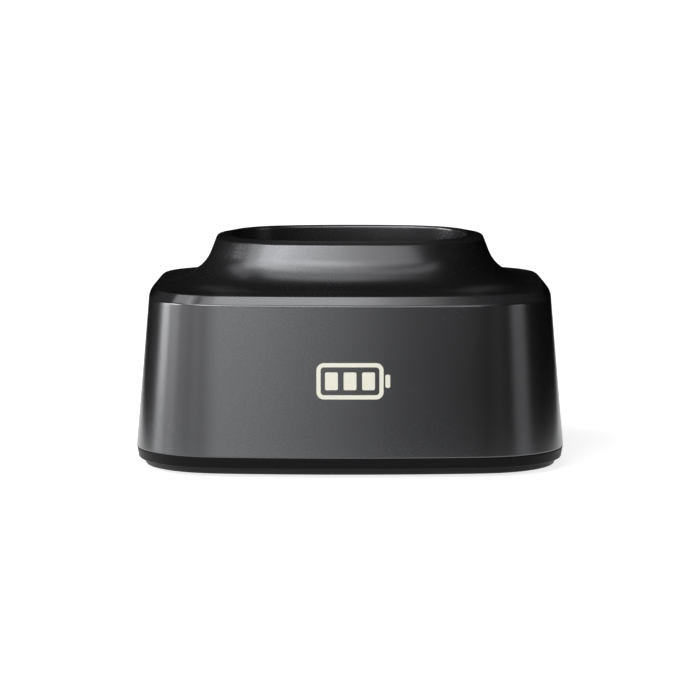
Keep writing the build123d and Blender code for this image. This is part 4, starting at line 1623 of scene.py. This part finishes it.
@dataclass
class Electronics:
    """The board behind the cup, the power inlet and the parts on the board."""

    top: float = 12.1
    bottom: float = 10.5
    back_row: float = 26.512
    front_row: float = 17.512
    capacitor: tuple[float, float] = (3.15, 11.0)
    inductor: tuple[float, float] = (4.0, 5.5)
    tall_x: float = 18.0
    chip: tuple[float, float, float] = (5.0, 4.0, 1.6)
    chip_x: float = -10.0
    fuse: tuple[float, float, float] = (4.6, 3.2, 1.4)
    fuse_x: float = 12.0
    header: tuple[float, float, float] = (7.0, 5.0, 6.0)
    lead_x: float = 1.5
    leg_pitch: float = 1.27
    jack_legs: Places = ((0.0, 24.2), (0.0, 29.6), (3.4, 27.0))
    screw_places: Places = ((-26.4, 14.112), (26.4, 14.112), (-26.4, 29.912), (26.4, 29.912))

    def can(self) -> Surface:
        """The capacitor's can: a rubber bung, a groove rolled over it, a straight wall and a dished top.

        Returns:
            The closed skin.
        """
        radius, height = self.capacitor
        top = self.top + height
        return lathe([(radius - 0.5, self.top), (radius - 0.1, self.top + 0.1), (radius, self.top + 0.4),
                      (radius, self.top + 1.2), (radius - 0.12, self.top + 1.45), (radius - 0.35, self.top + 1.7),
                      (radius - 0.12, self.top + 1.95), (radius, self.top + 2.2), (radius, self.top + 4.5),
                      (radius, top - 0.45), (radius - 0.13, top - 0.13), (radius - 0.4, top),
                      (radius - 0.55, top - 0.1), (radius - 0.7, top - 0.16), (1.0, top - 0.12)],
                     self.tall_x, self.back_row, 56)

    def drum(self) -> Surface:
        """The inductor: two flanges with rounded rims, and between them a waist as deep as the winding leaves it.

        Returns:
            The closed skin.
        """
        radius, height = self.inductor
        low, high, top = self.top + 0.92, self.top + height - 0.82, self.top + height
        waist = radius - 0.45
        return lathe([(radius - 0.25, self.top), (radius, self.top + 0.2), (radius, low - 0.15), (radius - 0.12, low),
                      (waist, low), (waist + 0.1, (low + high) / 2), (waist, high), (radius - 0.12, high),
                      (radius, high + 0.15), (radius, top - 0.2), (radius - 0.25, top), (1.5, top),
                      (1.3, top - 0.25), (0.6, top - 0.25)], -self.tall_x, self.back_row, 56)

    def chip_body(self) -> Surface:
        """The chip's resin: widest at its parting line, leaning in by a tenth above and below it.

        Returns:
            The closed skin.
        """
        size_x, size_y, height = self.chip
        low, middle, high = self.top + 0.15, self.top + height / 2, self.top + height
        rows = [(0.12, low), (0.08, low + 0.03), (0.0, middle - 0.08), (0.0, middle + 0.08), (0.1, high - 0.04),
                (0.14, high)]
        return stacked_box(size_x / 2, size_y / 2 - 0.5, rows, self.chip_x, self.front_row, 0.12)

    def chip_legs(self) -> list[Surface]:
        """The chip's eight legs: out of the parting line, down, and flat along the board.

        Returns:
            One closed skin for each.
        """
        level, foot, edge = self.top + self.chip[2] / 2, self.top + 0.1, self.chip[1] / 2 - 0.5
        shape = [(edge - 0.2, level), (edge + 0.1, level), (edge + 0.18, level - 0.06), (edge + 0.24, foot + 0.1),
                 (edge + 0.3, foot), (edge + 0.5, foot)]
        return [strip([(self.front_row + way * y, z) for y, z in shape], self.chip_x + place * self.leg_pitch, 0.42,
                      way * 0.16)
                for way in (-1, 1) for place in (-1.5, -0.5, 0.5, 1.5)]

    def fuse_pieces(self) -> tuple[list[Surface], list[Surface]]:
        """The fuse's flat resin body, and a plated cap round each end.

        Returns:
            The body's skins and the caps'.
        """
        size_x, size_y, height = self.fuse
        low, high, cap = self.top, self.top + height, 0.42
        body = stacked_box(size_x / 2 - 0.3, size_y / 2 - 0.08, soft_rows(low + 0.12, high - 0.1, 0.08),
                           self.fuse_x, self.front_row, 0.1)
        caps = [stacked_box(cap, size_y / 2, soft_rows(low, high, 0.1), self.fuse_x + way * (size_x / 2 - cap),
                            self.front_row, 0.1) for way in (-1, 1)]
        return [body], caps

    def header_shell(self) -> bpy.types.Object:
        """The header: a soft-edged box with a rib down each side, two windows and two lead holes.

        Returns:
            The new piece, not yet dressed.
        """
        size_x, size_y, height = self.header
        high = self.top + height
        box = stacked_box(size_x / 2 - 0.25, size_y / 2, soft_rows(self.top, high, 0.2, 0.05), 0.0, self.front_row,
                          0.35)
        ribs = [stacked_box(0.35, 0.6, soft_rows(self.top + 0.4, high - 0.8, 0.12), way * (size_x / 2 - 0.35),
                            self.front_row + 0.8, 0.15) for way in (-1, 1)]
        shell = mesh_object("header_shell", [box, *ribs], 35.0)
        front = self.front_row - size_y / 2
        holes = [laid(lathe([(0.75, -0.6), (0.75, 0.5)], way * self.lead_x, 0.0, 28), front, self.top + height / 2)
                 for way in (-1, 1)]
        windows = [stacked_box(0.55, 1.0, [(0.0, high - 0.7), (0.0, high + 0.4)], way * self.lead_x,
                               self.front_row - 0.5, 0.1) for way in (-1, 1)]
        carve(shell, [mesh_object("cut", [cut]) for cut in (*holes, *windows)])
        smooth_by_angle(shell, 35.0)
        return shell

    def solder(self) -> bpy.types.Object:
        """The solder cones under the board where the legs come through, each a bell round its leg.

        Returns:
            The new piece, not yet dressed.
        """
        cone = [(0.3, -0.62), (0.34, -0.58), (0.42, -0.35), (0.6, -0.14), (0.85, -0.03), (0.95, 0.02)]
        joint = mesh_object("joint", [lathe(cone, columns=24)], 35.0)
        x, y = self.tall_x, self.back_row
        legs = [(x, y - 1.25), (x, y + 1.25), (-x - 1.6, y), (-x + 1.6, y), (-self.lead_x, self.front_row),
                (self.lead_x, self.front_row), *self.jack_legs]
        return repeated(joint, "solder_joints", [(*leg, self.bottom) for leg in legs])

    def build(self) -> None:
        """Builds the parts that stand on the board and dresses the rest."""
        carry("main_board", Finishes.BOARD)
        softened("jack_body", Finishes.JACK, 0.2)
        carry("jack_centre_pin", Finishes.NICKEL)
        carry("jack_spring_leaf", Finishes.NICKEL)
        dress(mesh_object("capacitor_can", [self.can()], 35.0), Finishes.CAN, "base", "smoothing_capacitor")
        dress(mesh_object("inductor_drum", [self.drum()], 35.0), Finishes.FERRITE, "base", "power_inductor")
        dress(mesh_object("chip_body", [self.chip_body()], 30.0), Finishes.CHIP, "base", "charge_chip")
        dress(mesh_object("chip_legs", self.chip_legs(), 30.0), Finishes.NICKEL)
        resin, caps = self.fuse_pieces()
        dress(mesh_object("fuse_body", resin, 30.0), Finishes.FUSE, "base", "resettable_fuse")
        dress(mesh_object("fuse_caps", caps, 30.0), Finishes.NICKEL)
        dress(self.header_shell(), Finishes.NYLON, "base", "lead_header")
        dress(self.solder(), Finishes.NICKEL)
        Screws("board_screws", 2.2, 1.4, 1.1, 5.0, self.top, self.screw_places, True).build()


# Studio


@dataclass(frozen=True)
class Lamp:
    """A soft box: its angles round and above the object in degrees, its face in metres and how bright that is."""

    azimuth: float
    elevation: float
    width: float
    height: float
    brightness: float
    distance: float = 1.5

    def build(self, target: Vector) -> None:
        """Puts the lamp up. Its power is its brightness times pi times the area of its face.

        Args:
            target: The point that it faces.
        """
        turn, lift = math.radians(self.azimuth), math.radians(self.elevation)
        way = Vector((math.sin(turn) * math.cos(lift), -math.cos(turn) * math.cos(lift), math.sin(lift)))
        name = f"soft_box_{self.azimuth:.0f}_{self.elevation:.0f}"
        data = bpy.data.lights.new(name, "AREA")
        data.shape, data.size, data.size_y = "RECTANGLE", self.width, self.height
        data.energy = self.brightness * math.pi * self.width * self.height
        lamp = bpy.data.objects.new(name, data)
        lamp.location = target + way * self.distance
        lamp.rotation_mode = "QUATERNION"
        lamp.rotation_quaternion = (-way).to_track_quat("-Z", "Y")
        bpy.context.scene.collection.objects.link(lamp)


@dataclass(frozen=True)
class Flag:
    """A black card that keeps the white room out of reflections, and that nothing but reflections shows."""

    name: str
    corners: tuple[Point, ...]

    def build(self) -> None:
        """Puts the card up."""
        mesh = bpy.data.meshes.new(self.name)
        mesh.from_pydata(self.corners, [], [tuple(range(len(self.corners)))])
        card = bpy.data.objects.new(self.name, mesh)
        bpy.context.scene.collection.objects.link(card)
        recipe = Recipe(self.name)
        recipe.node_output(recipe.node("ShaderNodeBsdfDiffuse", inputs={"Color": (0.0, 0.0, 0.0, 1.0)}))
        mesh.materials.append(recipe.material)
        card.visible_camera = card.visible_diffuse = card.visible_transmission = card.visible_shadow = False


def standing_card(first: tuple[float, float], second: tuple[float, float], top: float) -> tuple[Point, ...]:
    """The corners of a card that stands on the floor.

    Args:
        first: The x and y of one lower corner, in metres as all of the studio is.
        second: Those of the other.
        top: Its upper edge's height.

    Returns:
        The four corners.
    """
    return ((*first, 0.0), (*second, 0.0), (*second, top), (*first, top))


def level_card(left: float, right: float, front: float, back: float) -> tuple[Point, ...]:
    """The corners of a card that lies on the floor.

    Args:
        left: Its least x, in metres.
        right: Its greatest x.
        front: Its least y.
        back: Its greatest y.

    Returns:
        The four corners.
    """
    return ((left, front, CARD_LEVEL), (right, front, CARD_LEVEL), (right, back, CARD_LEVEL), (left, back, CARD_LEVEL))


# The black cards, in metres: how high those on the floor lie, the room's walls and ceiling, the ceiling's corner at
# the front left that stays open, and the hole in the floor's cards, inside which the pale floor round the stand shows
# in reflections.
CARD_LEVEL = -0.00002
LEFT, RIGHT, FRONT, BACK, CEILING, FRONT_TOP = -2.4, 2.2, -2.2, 2.2, 5.0, 3.0
OPEN_RIGHT, OPEN_BACK = 0.2, -0.8
HOLE_SIDE, HOLE_FRONT, HOLE_BACK = 0.115, -0.075, 0.36


@dataclass
class Studio:
    """The pale floor, the white room, the soft boxes, the black cards and the camera at the photograph's place."""

    lens: float = 195.8
    distance: float = 0.9
    elevation: float = 6.9
    aim: float = 0.02466
    floor_half: float = 8.0
    sensor: float = 36.0
    drop: float = 0.00003
    floor_colour: Colour = (0.8, 0.8, 0.8)
    glow: float = 0.8
    glow_from: float = 160.0
    glow_to: float = 900.0
    ambient: float = 0.02
    lamps: tuple[Lamp, ...] = (
        Lamp(-26, 5, 0.30, 0.50, 1.75), Lamp(-15, 5, 0.30, 0.50, 2.85), Lamp(-4, 5, 0.30, 0.50, 1.45),
        Lamp(7, 5, 0.30, 0.50, 0.25), Lamp(-98, 6, 0.42, 0.50, 7.2), Lamp(-78, 6, 0.42, 0.50, 2.8),
        Lamp(-60, 6, 0.42, 0.50, 1.45), Lamp(-42, 6, 0.42, 0.50, 1.6), Lamp(34, 6, 0.42, 0.50, 0.2),
        Lamp(66, 6, 0.60, 0.50, 1.05), Lamp(-84, 22, 0.50, 0.36, 9.4),
        Lamp(8, 22, 0.50, 0.36, 1.8), Lamp(70, 22, 0.50, 0.36, 0.6), Lamp(-62, 36, 0.55, 0.36, 2.3),
        Lamp(-38, 36, 0.55, 0.36, 5.5), Lamp(-14, 36, 0.55, 0.36, 6.0), Lamp(10, 36, 0.55, 0.36, 1.9),
        Lamp(-100, 50, 0.60, 0.36, 0.85), Lamp(-66, 50, 0.60, 0.36, 2.8), Lamp(-36, 50, 0.60, 0.36, 3.7),
        Lamp(-8, 50, 0.60, 0.36, 1.45), Lamp(-100, 62, 0.60, 0.32, 0.6), Lamp(-15, 74, 0.60, 0.30, 0.68),
        Lamp(180, 40, 0.70, 0.60, 0.1), Lamp(180, -65, 1.00, 1.00, 4.5),
    )
    flags: tuple[Flag, ...] = (
        Flag("back_card", standing_card((LEFT, BACK), (RIGHT, BACK), CEILING)),
        Flag("right_card", standing_card((RIGHT, FRONT), (RIGHT, BACK), CEILING)),
        Flag("left_card", standing_card((LEFT, FRONT), (LEFT, BACK), CEILING)),
        Flag("front_card", standing_card((LEFT, FRONT), (RIGHT, FRONT), FRONT_TOP)),
        Flag("top_card", ((OPEN_RIGHT, FRONT, CEILING), (RIGHT, FRONT, CEILING), (RIGHT, BACK, CEILING),
                          (LEFT, BACK, CEILING), (LEFT, OPEN_BACK, CEILING), (OPEN_RIGHT, OPEN_BACK, CEILING))),
        Flag("floor_card_front", level_card(LEFT, RIGHT, FRONT, HOLE_FRONT)),
        Flag("floor_card_back", level_card(LEFT, RIGHT, HOLE_BACK, BACK)),
        Flag("floor_card_left", level_card(LEFT, -HOLE_SIDE, HOLE_FRONT, HOLE_BACK)),
        Flag("floor_card_right", level_card(HOLE_SIDE, RIGHT, HOLE_FRONT, HOLE_BACK)),
    )

    def floor(self) -> None:
        """A flat floor that shows as white outside the object's shadow, open to looks and to lamps from below."""
        half = self.floor_half
        mesh = bpy.data.meshes.new("floor")
        mesh.from_pydata([(half, -half, -self.drop), (half, half, -self.drop), (-half, half, -self.drop),
                          (-half, -half, -self.drop)], [], [(0, 1, 2, 3)])
        piece = bpy.data.objects.new("floor", mesh)
        bpy.context.scene.collection.objects.link(piece)
        recipe = Recipe("pale_floor")
        x, y, _ = recipe.axes()
        reach = (x * x + y * y).power(0.5)
        white = recipe.seen() * (self.glow + (1.0 - self.glow) * reach.ramp(self.glow_from, self.glow_to))
        pale = recipe.node("ShaderNodeBsdfPrincipled", inputs={
            "Base Color": (*self.floor_colour, 1.0), "Roughness": 1.0, "Specular IOR Level": 0.0,
            "Emission Color": white, "Emission Strength": 1.0})
        shadow = recipe.node("ShaderNodeLightPath", output="Is Shadow Ray")
        below = recipe.node("ShaderNodeNewGeometry", output="Backfacing").larger(shadow)
        recipe.node_output(recipe.node("ShaderNodeMixShader", inputs={
            0: below, 1: pale, 2: recipe.node("ShaderNodeBsdfTransparent")}))
        mesh.materials.append(recipe.material)

    def world(self) -> None:
        """A dim even sky that shows as white."""
        recipe = Recipe("studio", world=True)
        strength = self.ambient + recipe.seen() * (1.0 - self.ambient)
        recipe.node_output(recipe.node("ShaderNodeBackground", inputs={
            "Color": (1.0, 1.0, 1.0, 1.0), "Strength": strength}))
        bpy.context.scene.world = recipe.material

    def camera(self) -> None:
        """The camera, in front and a little above, looking at the middle of the stand."""
        lift = math.radians(self.elevation)
        back = Vector((0.0, -math.cos(lift), math.sin(lift)))
        data = bpy.data.cameras.new("camera")
        data.lens, data.sensor_width = self.lens, self.sensor
        data.clip_start, data.clip_end = 0.05, 20.0
        camera = bpy.data.objects.new("camera", data)
        camera.location = Vector((0.0, 0.0, self.aim)) + back * self.distance
        camera.rotation_mode = "QUATERNION"
        camera.rotation_quaternion = (-back).to_track_quat("-Z", "Y")
        bpy.context.scene.collection.objects.link(camera)
        bpy.context.scene.camera = camera

    def build(self) -> None:
        """Sets the studio up."""
        self.floor()
        self.world()
        for lamp in self.lamps:
            lamp.build(Vector((0.0, 0.0, self.aim)))
        for flag in self.flags:
            flag.build()
        self.camera()
        bpy.context.scene.view_settings.view_transform = "Standard"
        LOG.info("studio: %d soft boxes, %d black cards", len(self.lamps), len(self.flags))


def main() -> None:
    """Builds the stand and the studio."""
    logging.basicConfig(level=logging.INFO, format="%(name)s %(message)s")
    body = Body()
    Housing(body).build()
    Pictogram(body).build()
    Base(body).build()
    Contacts().build()
    Electronics().build()
    Studio().build()


if __name__ == "__main__":
    main()
